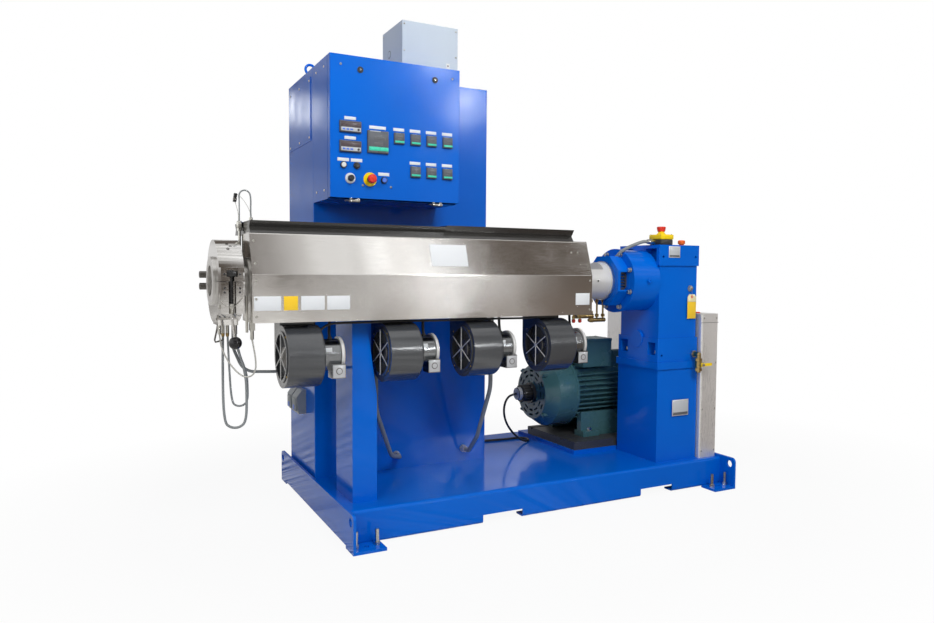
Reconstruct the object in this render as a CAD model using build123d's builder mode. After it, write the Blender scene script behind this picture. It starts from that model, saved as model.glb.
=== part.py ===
"""Single-screw plastic extruder on a welded skid, in millimetres.

The screw axis runs along X with the die end at -X and the drive end at +X. The operator's side is -Y.
The origin is on the floor, at the centre of the skid's four anchor holes.
"""
import os
from math import pi, radians, sqrt, tan

from build123d import *

os.makedirs("parts", exist_ok=True)

# Clearances
fit_gap = 0.3
joint_gap = 5.0

# Skid
skid_length = 2046.0
skid_width = 1000.0
deck_height = 145.0
channel_lift = 4.0
channel_wall = 8.0
channel_flange = 60.0
channel_bend = 14.0
deck_thickness = 8.0
end_plate_thickness = 12.0
end_plate_rise = 12.0
end_plate_corner = 22.0
foot_overhang = 96.0
foot_length = 140.0
foot_thickness = 12.0
anchor_hole = 22.0
lifting_hole = 36.0
lifting_inset = 34.0
jack_bolt = 16.0
jack_height = 78.0
jack_nut = 26.0
jack_nut_height = 14.0
jack_near = 27.0
jack_far = 115.0
fork_width = 204.0
fork_height = 38.0
fork_left = -296.0
fork_right = 586.0

# Screw axis
axis_y = -290.0
axis_z = 1065.0
screw_diameter = 63.5

# Barrel and heated zones
barrel_diameter = 130.0
barrel_left = -1391.0
throat_left = 170.0
zone_diameter = 200.0
zone_length = 250.0
zone_lead = 6.0
zone_port = 90.0

# Feed throat
throat_diameter = 184.0
throat_length = 208.0
throat_flat = 56.0
throat_shoulder = 38.0
feed_bore = 60.0
feed_center = 255.0
hopper_bolt = 10.2
hopper_bolt_pitch = 106.0
hopper_bolt_depth = 22.0
collar_diameter = 196.0
collar_length = 14.0

# Lantern, thrust housing and gearbox
lantern_across = 246.0
lantern_length = 70.0
lantern_wall = 30.0
window_size = 88.0
window_near = 14.0
window_far = 2.0
window_corner = 16.0
grille_depth = 10.0
grille_frame = 8.0
grille_slots = 5
grille_pitch = 14.0
grille_slot = 7.0
thrust_diameter = 312.0
thrust_flange = 18.0
thrust_flange_rim = 10.0
thrust_length = 144.0
gear_width = 265.0
gear_depth = 310.0
gear_band = 8.0
gear_bottom = 654.0
gear_foot_height = 122.0
gear_cap_height = 105.0
gear_top = 1247.0
drive_plate = 36.0
drive_plate_lip = 8.0
gear_pocket_near = 50.0
gear_pocket_far = 132.0
gear_pocket_low = 97.0
gear_pocket_high = 164.0
gear_pocket_depth = 46.0
foot_pocket_near = 79.0
foot_pocket_far = 135.0
foot_pocket_low = 36.0
foot_pocket_high = 98.0
gear_boss = 92.0
gear_boss_reach = 4.0
gear_boss_y = -280.0
gear_boss_z = 764.0
band_hole = 13.0
band_hole_depth = 22.0
band_hole_inset = 25.0
cap_hole_drop = 60.0
foot_hole_rise = 34.0

# Front barrel post
post_width = 107.0
post_depth = 222.0
post_left = -961.0
post_shoulder = 590.0
post_neck = 66.0

# Hood
hood_left = -1378.0
hood_half_width = 210.0
hood_bottom = 910.0
hood_knee = 1092.0
hood_top = 1250.0
hood_setback = 50.0
hood_lip = 70.0
hood_wall = 3.0
hood_bend = 8.0
hood_back_left = -1280.0
cap_height = 46.0
cap_throat = 21.0
cap_split = -556.0
cap_inset = 4.0
cap_right_short = 70.0

# Blowers
blower_lefts = (-1254.0, -843.0, -468.0, -84.0)
blower_y = -422.0
blower_z = 771.0
blower_diameter = 245.0
blower_width = 144.0
blower_inlet = 186.0
blower_inlet_depth = 40.0
blower_duct = 96.0
blower_round = 10.0
junction_width = 54.0
junction_offset = 36.0
junction_front = 78.0
junction_back = 20.0
junction_low = 87.0
junction_high = 30.0
blower_motor_diameter = 129.0
blower_motor_length = 92.0
blower_motor_ring = 10.0
guard_wire = 4.0
guard_rings = 4
guard_spokes = 8

# Die clamp
clamp_diameter = 320.0
clamp_width = 91.0
clamp_bore = 190.0
clamp_split = 3.0
clamp_gap = 5.0
clamp_lug_reach = 54.0
clamp_lug_height = 46.0
clamp_bolt = 18.0
clamp_bolt_reach = 36.0
adapter_overhang = 12.0
die_seat_diameter = 120.0
die_seat_depth = 40.0

# Electrical cabinet
cabinet_left = -1000.0
cabinet_width = 894.0
cabinet_front = 28.0
cabinet_depth = 451.0
cabinet_wall = 3.0
cabinet_bend = 4.0
panel_width = 610.0
panel_height = 606.0
panel_front = -200.0
panel_clearance = 113.0
door_thickness = 32.0
hinge_diameter = 14.0
hinge_length = 44.0
hinge_inset = 110.0
top_box_left = -564.0
top_box_width = 294.0
top_box_front = 35.0
top_box_depth = 262.0
top_box_height = 281.0
side_panel_inset = 34.0
socket_width = 84.0
socket_height = 112.0
socket_depth = 46.0
socket_z = 480.0
socket_gap = 12.0
socket_top_depth = 20.0
socket_bottom_depth = 36.0
socket_shoulder = 34.0
socket_round = 6.0
eye_ring = 44.0
eye_wire = 12.0

# Instruments on the door
instrument_bezel = 8.0
large_module = 96.0
small_module = 48.0
zone_pitch = 78.5
meter_pitch = 83.0
row_drop = 141.0
instrument_drop = 308.0
meter_drop = 277.0
meter_inset = 40.0
controller_inset = 164.0
zone_inset = 287.0
button_spots = ((58.0, 143.0), (117.0, 143.0), (241.0, 88.0))
dial_spot = (88.0, 88.0)
dial_plate = 6.0
dial_reach = 24.0
dial_knob = 26.0
stop_spot = (177.0, 88.0)
stop_plate = 5.0
stop_neck = 23.0
stop_neck_diameter = 25.0
stop_cap = 16.0
stop_round = 6.0
latch_insets = (134.0, 485.0)
latch_drop = 57.0
latch_reach = 12.0

# Drive motor
motor_y = 154.0
motor_z = 440.0
motor_left = 254.0
motor_diameter = 372.0
motor_bell_length = 197.0
motor_length = 424.0
motor_core = 320.0
motor_fin_thickness = 6.0
motor_fin_pitch = 26.0
motor_fin_rows = 5
motor_fin_short = 12.0
motor_top_rise = 30.0
motor_foot_length = 110.0
motor_foot_width = 80.0
motor_web_width = 36.0
motor_foot_inset = 20.0
motor_foot_rise = 100.0
bell_shoulder = 34.0
bell_vent_rows = (96.0, 122.0)
bell_vent_length = 34.0
bell_vent_width = 11.0
bell_vent_depth = 22.0
bell_vents = 12
encoder_cap_diameter = 66.0
encoder_cap_length = 22.0
encoder_base_diameter = 112.0
encoder_base_length = 18.0
encoder_groove = 7.0
encoder_grooves = 16
motor_foot_height = 30.0
motor_foot_span = 150.0
slide_inset = 10.0
slide_front = 272.0
slide_back = 195.0
slide_slot = 16.0
slide_slot_depth = 12.0
encoder_diameter = 92.0
encoder_length = 95.0
motor_shaft = 60.0
slide_base_height = 42.0
pad_height = 20.0
pad_left = 345.0
pad_right = 860.0
pad_front = -125.0
pad_back = 440.0

# Belt guard
guard_left = 893.0
guard_width = 115.0
guard_front = -470.0
guard_back = 307.0
guard_top = 895.0

# Smaller fittings
clamp_lug_width = 70.0
clamp_lug_root = 24.0
clamp_hinge_reach = 24.0
clamp_hinge_z = 24.0
clamp_pin_reach = 14.0
clamp_knob_rim = 5.0
fork_center = -1450.0
fork_width_x = 80.0
fork_rise = 52.0
fork_ledge = 18.0
fork_drop = 118.0
fork_gap = 26.0
fork_root = 5.0
swing_stem = 15.0
swing_head_width = 39.0
swing_head_depth = 34.0
swing_head_height = 21.0
swing_pin = 14.0
swing_pin_drop = 92.0
lever_rod = 11.0
lever_lean = 13.0
lever_reach = 228.0
lever_knob = 48.0
lead_boss = 120.0
lead_boss_drop = 10.0
lead_boss_inset = 8.0
end_wall = 4.0
end_inset = 3.6
hood_end_gap = 12.0
cap_step = 6.0
cap_gap = 2.0
door_seat = 5.0
hinge_leaf = 4.0
button_diameter = 28.0
button_reach = 14.0
dial_diameter = 46.0
stop_disc_diameter = 60.0
stop_button_diameter = 40.0
latch_diameter = 28.0
access_thickness = 3.0
access_height = 321.0
socket_front = 150.0
eye_inset = 35.0
eye_depth = 172.0
eye_foot = 31.0
bell_face = 286.0
terminal_left = 470.0
terminal_length = 190.0
terminal_front = 182.0
terminal_back = 40.0
terminal_lift = 150.0
terminal_height = 150.0
station_left = 640.0
station_width = 92.0
station_base = 26.0
station_cover = 26.0
breather_x = 812.0
drain_x = 855.0
drain_z = 690.0
valve_z = 640.0
valve_reach = 62.0

# Leads and conduits
sensor_stem = 10.0
sensor_head = 20.0
sensor_neck_length = 159.7
sensor_head_length = 100.0
sensor_gland_x = -1340.0
sensor_gland_top = 1316.0
lead_gland = 14.0
lead_gland_length = 35.0
lead_spots = ((-1472.0, -338.0), (-1455.0, -310.0), (-1438.0, -310.0), (-1414.0, -346.0), (-1414.0, -320.0))
bracket_ys = (-440.0,)
bracket_depth = 18.0
bracket_height = 30.0
bracket_margin = 15.0
cable_gland = 24.0
cable_gland_length = 14.0
cable_gland_y = 342.0
cable_gland_z = 160.0
long_cable = 10.0
short_cable = 8.0
thermo_lead = 6.0
sensor_lead = 6.0
encoder_cable = 12.0
conduit = 20.0
sheath = 12.0
LONG_CABLE = (
    (-1455, -310, 860), (-1460, -320, 690), (-1458, -331, 516.4), (-1434.6, -340, 493), (-1401.4, -348, 493),
    (-1378, -354, 516.4), (-1375, -356, 610), (-1378, -354, 708), (-1411, -347, 815), (-1414, -346, 860))
SHORT_CABLE = (
    (-1438, -310, 860), (-1434, -314, 730), (-1427, -320, 591.6), (-1409.4, -323, 574), (-1384.6, -326, 574),
    (-1367, -328, 591.6), (-1366, -329, 640), (-1369, -328, 708), (-1411, -321, 815), (-1414, -320, 860))
THERMO_LEAD = (
    (-1472, -338, 860), (-1470, -340, 826), (-1460, -349, 790), (-1444, -362, 755), (-1424, -376, 725),
    (-1402, -392, 703), (-1381, -408, 697), (-1364, -422, 706), (-1355, -432, 728), (-1355, -437, 760),
    (-1361, -439, 803), (-1369, -440, 845))
SENSOR_LEAD = (
    (-1384.5, -290, 1390), (-1385, -290, 1400), (-1382, -290, 1411.3), (-1373.8, -290, 1419.5),
    (-1363, -290, 1422.5), (-1352.2, -290, 1419.5), (-1344, -290, 1411.3), (-1341, -290, 1400),
    (-1339.5, -290, 1378), (-1341, -290, 1346), (-1340, -290, 1316))
ENCODER_CABLE = (
    (159, 154, 440), (122, 154, 437), (95, 156, 412), (84, 160, 372), (88, 166, 330), (104, 174, 288),
    (130, 184, 250), (164, 196, 214), (202, 208, 184), (236, 218, 163), (262, 225, 154),
    (284, 234, 151.3), (302, 252, 151.3), (309, 277, 151.3), (302, 302, 151.3), (282, 319, 151.3),
    (254, 325, 151.3), (215, 324, 151.3), (160, 328, 151.3), (95, 334, 151.3), (30, 338, 151.3),
    (-35, 341, 154), (-92, 342, 160))
CONDUITS = (
    (((-811, -270, 965), (-811, -270, 500), (-680, -120, 250), (-600, -30, 215), (-600, 28, 215)),
     (110, 90, 40), conduit),
    (((-240, -270, 965), (-240, -270, 560), (-236, -130, 300), (-235, -40, 209), (-235, 28, 209)),
     (140, 90, 40), conduit),
    (((-1414, -292, 895), (-1414, -292, 800), (-1374, -288, 704), (-1256, -284, 697), (-961, -284, 697)),
     (60, 70, 90), sheath))

# Worked out from the sizes above
half_length = skid_length / 2
half_width = skid_width / 2
inner_end = half_length - end_plate_thickness
foot_edge = half_width + foot_overhang
foot_center_x = half_length - foot_length / 2
foot_center_y = half_width + foot_overhang / 2
throat_right = throat_left + throat_length
collar_right = throat_right + collar_length
lantern_right = collar_right + lantern_length
flange_right = lantern_right + thrust_flange
gear_left = flange_right + thrust_length
gear_right = gear_left + gear_width
gear_front = axis_y - gear_depth / 2
gear_back = axis_y + gear_depth / 2
hood_front = axis_y - hood_half_width
hood_back = axis_y + hood_half_width
clamp_right = barrel_left - clamp_gap
clamp_left = clamp_right - clamp_width
panel_bottom = hood_top + cap_height + cap_step + panel_clearance
cabinet_top = panel_bottom + panel_height
instrument_top = cabinet_top - instrument_drop
meter_top = cabinet_top - meter_drop
panel_right = cabinet_left + panel_width
door_front = panel_front - door_thickness
cabinet_back = cabinet_front + cabinet_depth
cabinet_right = cabinet_left + cabinet_width


def block(x0, x1, y0, y1, z0, z1, mode=Mode.ADD):
    """A box between two corners, in the part that is open."""
    with Locations(((x0 + x1) / 2, (y0 + y1) / 2, (z0 + z1) / 2)):
        Box(x1 - x0, y1 - y0, z1 - z0, mode=mode)


def rod_x(x0, x1, y, z, diameter, mode=Mode.ADD):
    """A round bar along X, in the part that is open."""
    with Locations(Location(((x0 + x1) / 2, y, z), (0, 90, 0))):
        Cylinder(diameter / 2, x1 - x0, mode=mode)


def rod_y(y0, y1, x, z, diameter, mode=Mode.ADD):
    """A round bar along Y, in the part that is open."""
    with Locations(Location((x, (y0 + y1) / 2, z), (90, 0, 0))):
        Cylinder(diameter / 2, y1 - y0, mode=mode)


def rod_z(z0, z1, x, y, diameter, mode=Mode.ADD):
    """An upright round bar, in the part that is open."""
    with Locations((x, y, (z0 + z1) / 2)):
        Cylinder(diameter / 2, z1 - z0, mode=mode)


def keep(builder, name):
    """Label a finished sub-part and write its file."""
    builder.part.label = name
    export_step(builder.part, f"parts/{name}.step")


# Skid channels with rounded outer corners and fork pockets
with BuildPart() as channels:
    for side in (-1, 1):
        block(-inner_end, inner_end, *sorted((side * (half_width - channel_flange), side * half_width)),
              channel_lift, deck_height)
    outer = channels.edges().filter_by(Axis.X).group_by(Axis.Y)
    fillet(outer[0] + outer[-1], channel_bend)
    for side in (-1, 1):
        block(-inner_end, inner_end,
              *sorted((side * (half_width - channel_flange), side * (half_width - channel_wall))),
              channel_lift + channel_wall, deck_height - channel_wall, mode=Mode.SUBTRACT)
    for fork_x in (fork_left, fork_right):
        block(fork_x - fork_width / 2, fork_x + fork_width / 2, -half_width, half_width,
              channel_lift, channel_lift + fork_height, mode=Mode.SUBTRACT)
keep(channels, "side_channels")

with BuildPart() as deck:
    block(-inner_end, inner_end, channel_flange - half_width, half_width - channel_flange,
          deck_height - deck_thickness, deck_height)
keep(deck, "deck_plate")

# End plates with lifting holes, standing on the feet
with BuildPart() as end_plates:
    for side in (-1, 1):
        block(*sorted((side * inner_end, side * half_length)), -foot_edge, foot_edge, foot_thickness,
              deck_height + end_plate_rise)
    fillet(end_plates.edges().filter_by(Axis.X).group_by(Axis.Z)[-1], end_plate_corner)
    for across in (-1, 1):
        rod_x(-half_length, half_length, across * (foot_edge - lifting_inset),
              deck_height + end_plate_rise - lifting_inset, lifting_hole, mode=Mode.SUBTRACT)
keep(end_plates, "end_plates")

with BuildPart() as feet:
    with GridLocations(2 * foot_center_x, 2 * foot_center_y, 2, 2):
        with Locations((0, 0, foot_thickness / 2)):
            Box(foot_length, foot_overhang, foot_thickness)
    with GridLocations(2 * foot_center_x, 2 * foot_center_y, 2, 2):
        Cylinder(anchor_hole / 2, 4 * foot_thickness, mode=Mode.SUBTRACT)
    for reach in (jack_near, jack_far):
        with GridLocations(2 * (half_length - reach), 2 * foot_center_y, 2, 2):
            Cylinder(jack_bolt / 2 + fit_gap, 4 * foot_thickness, mode=Mode.SUBTRACT)
keep(feet, "foot_plates")

with BuildPart() as jacks:
    for reach in (jack_near, jack_far):
        with GridLocations(2 * (half_length - reach), 2 * foot_center_y, 2, 2):
            with Locations((0, 0, (jack_height + 1) / 2)):
                Cylinder(jack_bolt / 2, jack_height - 1)
        with BuildSketch(Plane.XY.offset(foot_thickness)):
            with GridLocations(2 * (half_length - reach), 2 * foot_center_y, 2, 2):
                RegularPolygon(jack_nut / 2, 6)
        extrude(amount=jack_nut_height)
keep(jacks, "jack_bolts")

# Front barrel post, waisted above the blowers, with a saddle under the barrel
with BuildPart() as post:
    with BuildSketch(Plane.XZ.offset(-axis_y + post_depth / 2)):
        with BuildLine():
            Polyline((post_left, deck_height), (post_left + post_width, deck_height),
                     (post_left + post_width, post_shoulder),
                     (post_left + post_neck, hood_bottom - 40.0),
                     (post_left + post_neck, axis_z), (post_left, axis_z), close=True)
        make_face()
    extrude(amount=-post_depth)
    rod_x(post_left - 1, post_left + post_width, axis_y, axis_z, barrel_diameter + 2 * fit_gap,
          mode=Mode.SUBTRACT)
keep(post, "barrel_post")

# Drive post with its top plate
with BuildPart() as drive:
    block(gear_left, gear_right, gear_front, gear_back, deck_height, gear_bottom - drive_plate)
    block(gear_left - drive_plate_lip, gear_right, gear_front - drive_plate_lip,
          gear_back + drive_plate_lip, gear_bottom - drive_plate, gear_bottom)
keep(drive, "drive_post")

# Gearbox casting with its foot band, body and cap band
with BuildPart() as gearbox:
    body_left = gear_left + gear_band
    body_right = gear_right - gear_band
    body_front = gear_front + gear_band
    body_back = gear_back - gear_band
    block(gear_left, gear_right, gear_front, gear_back, gear_bottom, gear_bottom + gear_foot_height)
    block(body_left, body_right, body_front, body_back, gear_bottom, gear_top)
    block(gear_left, gear_right, gear_front, gear_back, gear_top - gear_cap_height, gear_top)
    rod_x(gear_left - gear_boss_reach, body_left, gear_boss_y, gear_boss_z, gear_boss)
    for across in (-1, 1):
        block(gear_left, gear_left + gear_pocket_depth,
              *sorted((axis_y + across * foot_pocket_near, axis_y + across * foot_pocket_far)),
              gear_bottom + foot_pocket_low, gear_bottom + foot_pocket_high, mode=Mode.SUBTRACT)
        block(gear_left, gear_left + gear_pocket_depth,
              *sorted((axis_y + across * gear_pocket_near, axis_y + across * gear_pocket_far)),
              axis_z + gear_pocket_low, axis_z + gear_pocket_high, mode=Mode.SUBTRACT)
    for hole_x in (gear_left + band_hole_inset, gear_right - band_hole_inset):
        for hole_z in (gear_top - cap_hole_drop, gear_bottom + foot_hole_rise):
            rod_y(gear_front, gear_front + band_hole_depth, hole_x, hole_z, band_hole, mode=Mode.SUBTRACT)
    fillet(gearbox.edges().filter_by(Axis.Z).group_by(Axis.Y)[0], gear_band / 2)
    rod_x(gear_left - 1, body_left, axis_y, axis_z, thrust_diameter + 2 * fit_gap, mode=Mode.SUBTRACT)
keep(gearbox, "gearbox_housing")

with BuildPart() as thrust:
    rod_x(lantern_right, body_left, axis_y, axis_z, thrust_diameter)
    with BuildSketch(Plane.YZ.offset(collar_right)):
        with Locations((axis_y, axis_z)):
            RegularPolygon(lantern_across / 2, 8, major_radius=False, rotation=22.5)
    extrude(amount=lantern_length)
    for side in (-1, 1):
        block(collar_right + window_near, lantern_right - window_far,
              *sorted((axis_y + side * lantern_across / 2, axis_y + side * (lantern_across / 2 - lantern_wall))),
              axis_z - window_size / 2, axis_z + window_size / 2, mode=Mode.SUBTRACT)
    rod_x(lantern_right, lantern_right + thrust_flange, axis_y, axis_z, thrust_diameter + thrust_flange_rim)
keep(thrust, "thrust_housing")

with BuildPart() as grilles:
    for side in (-1, 1):
        y0, y1 = sorted((axis_y + side * (lantern_across / 2 - lantern_wall),
                         axis_y + side * (lantern_across / 2 - lantern_wall + grille_depth)))
        block(collar_right + window_near, lantern_right - window_far, y0, y1,
              axis_z - window_size / 2, axis_z + window_size / 2)
        for step in range(grille_slots):
            slot_z = axis_z + (step - (grille_slots - 1) / 2) * grille_pitch
            block(collar_right + window_near + grille_frame, lantern_right - window_far - grille_frame, y0, y1,
                  slot_z - grille_slot / 2, slot_z + grille_slot / 2, mode=Mode.SUBTRACT)
    chamfer(grilles.edges().filter_by(Axis.Y).group_by(Axis.Z)[0]
            + grilles.edges().filter_by(Axis.Y).group_by(Axis.Z)[-1], window_corner)
keep(grilles, "lantern_grilles")

# Feed throat with its milled hopper pad, and the collar that pins it to the lantern
with BuildPart() as throat:
    rod_x(throat_left, throat_right, axis_y, axis_z, throat_diameter)
    block(throat_left, throat_right - throat_shoulder, axis_y - throat_diameter, axis_y + throat_diameter,
          axis_z + throat_flat, axis_z + throat_diameter, mode=Mode.SUBTRACT)
    rod_z(axis_z, axis_z + throat_flat, feed_center, axis_y, feed_bore, mode=Mode.SUBTRACT)
    rod_x(throat_left, throat_right, axis_y, axis_z, screw_diameter + 2 * fit_gap, mode=Mode.SUBTRACT)
    with Locations((feed_center, axis_y, axis_z + throat_flat - hopper_bolt_depth / 2)):
        with GridLocations(hopper_bolt_pitch, hopper_bolt_pitch, 2, 2):
            Cylinder(hopper_bolt / 2, hopper_bolt_depth, mode=Mode.SUBTRACT)
keep(throat, "feed_throat")

with BuildPart() as collar:
    rod_x(throat_right, collar_right, axis_y, axis_z, collar_diameter)
    rod_x(throat_right, collar_right, axis_y, axis_z, screw_diameter + 2 * fit_gap, mode=Mode.SUBTRACT)
keep(collar, "throat_collar")

with BuildPart() as screw:
    rod_x(barrel_left + 60.0, collar_right, axis_y, axis_z, screw_diameter)
keep(screw, "screw")

with BuildPart() as barrel:
    rod_x(barrel_left, throat_left, axis_y, axis_z, barrel_diameter)
    rod_x(barrel_left, throat_left, axis_y, axis_z, screw_diameter + 2 * fit_gap, mode=Mode.SUBTRACT)
keep(barrel, "barrel")

# Heated and air-cooled zones, each with a square port down to its blower
zone_starts = [left - zone_lead for left in blower_lefts]
duct_x = [left + blower_width / 2 for left in blower_lefts]
duct_y = blower_y + blower_diameter / 2 - blower_duct / 2
duct_top = axis_z - zone_diameter / 2 - 55.0
with BuildPart() as zones:
    for start, port_x in zip(zone_starts, duct_x):
        rod_x(start, start + zone_length, axis_y, axis_z, zone_diameter)
        block(port_x - zone_port / 2, port_x + zone_port / 2, duct_y - zone_port / 2, duct_y + zone_port / 2,
              duct_top, axis_z)
    rod_x(barrel_left, throat_left, axis_y, axis_z, barrel_diameter + 2 * fit_gap, mode=Mode.SUBTRACT)
keep(zones, "heater_zones")

# Blowers: snail housings, inlet guards and motors
with BuildPart() as blowers:
    for x0 in blower_lefts:
        with BuildSketch(Plane.YZ.offset(x0)):
            with Locations((blower_y, blower_z)):
                Circle(blower_diameter / 2)
            with Locations((duct_y, (blower_z + duct_top) / 2)):
                Rectangle(blower_duct, duct_top - blower_z)
        extrude(amount=blower_width)
    drive_rims = [edge for edge in blowers.edges() if edge.center().Z < duct_top - fit_gap
                  and any(abs(edge.center().X - x0 - blower_width) < fit_gap for x0 in blower_lefts)]
    fillet(drive_rims, blower_round)
    for x0 in blower_lefts:
        rod_x(x0, x0 + blower_inlet_depth, blower_y, blower_z, blower_inlet, mode=Mode.SUBTRACT)
keep(blowers, "blower_housings")

with BuildPart() as blower_guards:
    for x0 in blower_lefts:
        rod_x(x0 - guard_wire, x0, blower_y, blower_z, blower_inlet + 16.0)
        rod_x(x0 - guard_wire, x0, blower_y, blower_z, blower_inlet - 8.0, mode=Mode.SUBTRACT)
        for turn in range(guard_spokes // 2):
            with Locations(Location((x0 - guard_wire / 2, blower_y, blower_z),
                                    (turn * 360.0 / guard_spokes, 0, 0))):
                Box(guard_wire, blower_inlet, guard_wire)
        with BuildSketch(Plane.YZ.offset(x0 - guard_wire)):
            for ring in range(1, guard_rings):
                radius = blower_inlet / 2 * ring / guard_rings
                with Locations((blower_y, blower_z)):
                    Circle(radius + guard_wire / 2)
                    Circle(radius - guard_wire / 2, mode=Mode.SUBTRACT)
        extrude(amount=guard_wire)
keep(blower_guards, "blower_inlet_guards")

with BuildPart() as blower_motors:
    for left in blower_lefts:
        x0 = left + blower_width
        rod_x(x0, x0 + blower_motor_length, blower_y, blower_z, blower_motor_diameter)
        rod_x(x0 + blower_motor_length - blower_motor_ring, x0 + blower_motor_length, blower_y, blower_z,
              blower_motor_diameter + blower_motor_ring)
        block(x0 + junction_offset, x0 + junction_offset + junction_width, blower_y - junction_front,
              blower_y - junction_back, blower_z - junction_low, blower_z - junction_high)
keep(blower_motors, "blower_motors")

# Split die clamp: two half rings, hinge bolts at the back and a swing bolt in front
clamp_mid = (clamp_left + clamp_right) / 2
clamp_hinge_y = axis_y + clamp_diameter / 2 + clamp_hinge_reach
swing_y = axis_y - clamp_diameter / 2 - clamp_lug_reach / 2
fork_front = axis_y - clamp_diameter / 2 - clamp_lug_reach
fork_back = axis_y - clamp_bore / 2 - fork_root
pin_z = axis_z - swing_pin_drop
for name, side in (("die_clamp_upper", 1), ("die_clamp_lower", -1)):
    with BuildPart() as clamp:
        rod_x(clamp_left, clamp_right, axis_y, axis_z, clamp_diameter)
        block(clamp_mid - clamp_lug_width / 2, clamp_mid + clamp_lug_width / 2,
              axis_y + clamp_diameter / 2 - clamp_lug_root, axis_y + clamp_diameter / 2 + clamp_lug_reach,
              axis_z - clamp_lug_height, axis_z + clamp_lug_height)
        block(fork_center - fork_width_x / 2, fork_center + fork_width_x / 2, fork_front, fork_back,
              axis_z - fork_drop, axis_z + fork_rise)
        if side < 0:
            block(clamp_left + lead_boss_inset, clamp_right - lead_boss_inset, axis_y - lead_boss / 2,
                  axis_y + lead_boss / 2, axis_z - clamp_diameter / 2 - lead_boss_drop, axis_z)
            block(fork_center - fork_gap / 2, fork_center + fork_gap / 2, fork_front, swing_y + fork_gap / 2,
                  axis_z - fork_drop, axis_z, mode=Mode.SUBTRACT)
            rod_x(fork_center - fork_width_x / 2, fork_center + fork_width_x / 2, swing_y, pin_z,
                  swing_pin + 2 * fit_gap, mode=Mode.SUBTRACT)
        else:
            block(fork_center - swing_head_width / 2 - fit_gap, fork_center + swing_head_width / 2 + fit_gap,
                  fork_front, swing_y + swing_head_depth / 2 + fit_gap, axis_z + fork_ledge, axis_z + fork_rise,
                  mode=Mode.SUBTRACT)
            block(fork_center - swing_stem / 2 - fit_gap, fork_center + swing_stem / 2 + fit_gap, fork_front,
                  swing_y + swing_stem / 2 + fit_gap, axis_z, axis_z + fork_rise, mode=Mode.SUBTRACT)
        rod_x(clamp_left, clamp_right, axis_y, axis_z, clamp_bore, mode=Mode.SUBTRACT)
        z0, z1 = sorted((axis_z + side * clamp_split / 2, axis_z - side * clamp_diameter))
        block(clamp_left - clamp_width, clamp_right + clamp_width, axis_y - clamp_diameter,
              axis_y + clamp_diameter, z0, z1, mode=Mode.SUBTRACT)
        rod_x(clamp_left, clamp_right, clamp_hinge_y, axis_z + side * clamp_hinge_z, clamp_bolt + 2 * fit_gap,
              mode=Mode.SUBTRACT)
    keep(clamp, name)

with BuildPart() as clamp_bolts:
    for side in (-1, 1):
        bolt_z = axis_z + side * clamp_hinge_z
        lug_left = clamp_mid - clamp_lug_width / 2
        rod_x(lug_left, clamp_mid + clamp_lug_width / 2 + clamp_pin_reach, clamp_hinge_y, bolt_z, clamp_bolt)
        rod_x(lug_left - clamp_bolt_reach, lug_left, clamp_hinge_y, bolt_z, clamp_bolt + 2 * clamp_knob_rim)
    rod_x(fork_center - fork_width_x / 2, fork_center + fork_width_x / 2, swing_y, pin_z, swing_pin)
keep(clamp_bolts, "clamp_bolts")

with BuildPart() as adapter:
    rod_x(clamp_left - adapter_overhang, barrel_left, axis_y, axis_z, clamp_bore - 2 * fit_gap)
    rod_x(clamp_left - adapter_overhang, barrel_left, axis_y, axis_z, screw_diameter, mode=Mode.SUBTRACT)
    rod_x(clamp_left - adapter_overhang, clamp_left - adapter_overhang + die_seat_depth, axis_y, axis_z,
          die_seat_diameter, mode=Mode.SUBTRACT)
keep(adapter, "die_adapter")

boss_bottom = axis_z - clamp_diameter / 2 - lead_boss_drop
lever_end = (fork_center + lever_lean, swing_y, axis_z - lever_reach)
with BuildPart() as lever:
    block(fork_center - swing_head_width / 2, fork_center + swing_head_width / 2, swing_y - swing_head_depth / 2,
          swing_y + swing_head_depth / 2, axis_z + fork_ledge, axis_z + fork_ledge + swing_head_height)
    rod_z(axis_z - fork_drop, axis_z + fork_ledge, fork_center, swing_y, swing_stem)
    with BuildLine(mode=Mode.PRIVATE) as handle:
        Line((fork_center, swing_y, axis_z - fork_drop + swing_stem), lever_end)
    with BuildSketch(Plane(origin=handle.wire() @ 0, z_dir=handle.wire() % 0)):
        Circle(lever_rod / 2)
    sweep(path=handle.wire())
    with Locations(lever_end):
        Sphere(lever_knob / 2)
    rod_x(fork_center - fork_width_x / 2, fork_center + fork_width_x / 2, swing_y, pin_z, swing_pin + 2 * fit_gap,
          mode=Mode.SUBTRACT)
keep(lever, "clamp_lever")

# Hood: bent front and back covers, end plates and the two vent caps
for name, side, left in (("hood_front_cover", -1, hood_left), ("hood_back_cover", 1, hood_back_left)):
    edge_y = axis_y + side * hood_half_width
    slope_y = edge_y - side * hood_setback
    lip_y = slope_y - side * hood_lip
    with BuildPart() as cover:
        with BuildSketch(Plane.YZ.offset(left)):
            with BuildLine():
                bend = FilletPolyline((edge_y, hood_bottom), (edge_y, hood_knee), (slope_y, hood_top),
                                      (lip_y, hood_top), radius=hood_bend)
                offset(bend, amount=hood_wall, side=Side.RIGHT if side < 0 else Side.LEFT)
            make_face()
        extrude(amount=throat_left - end_wall - left)
    keep(cover, name)

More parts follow.
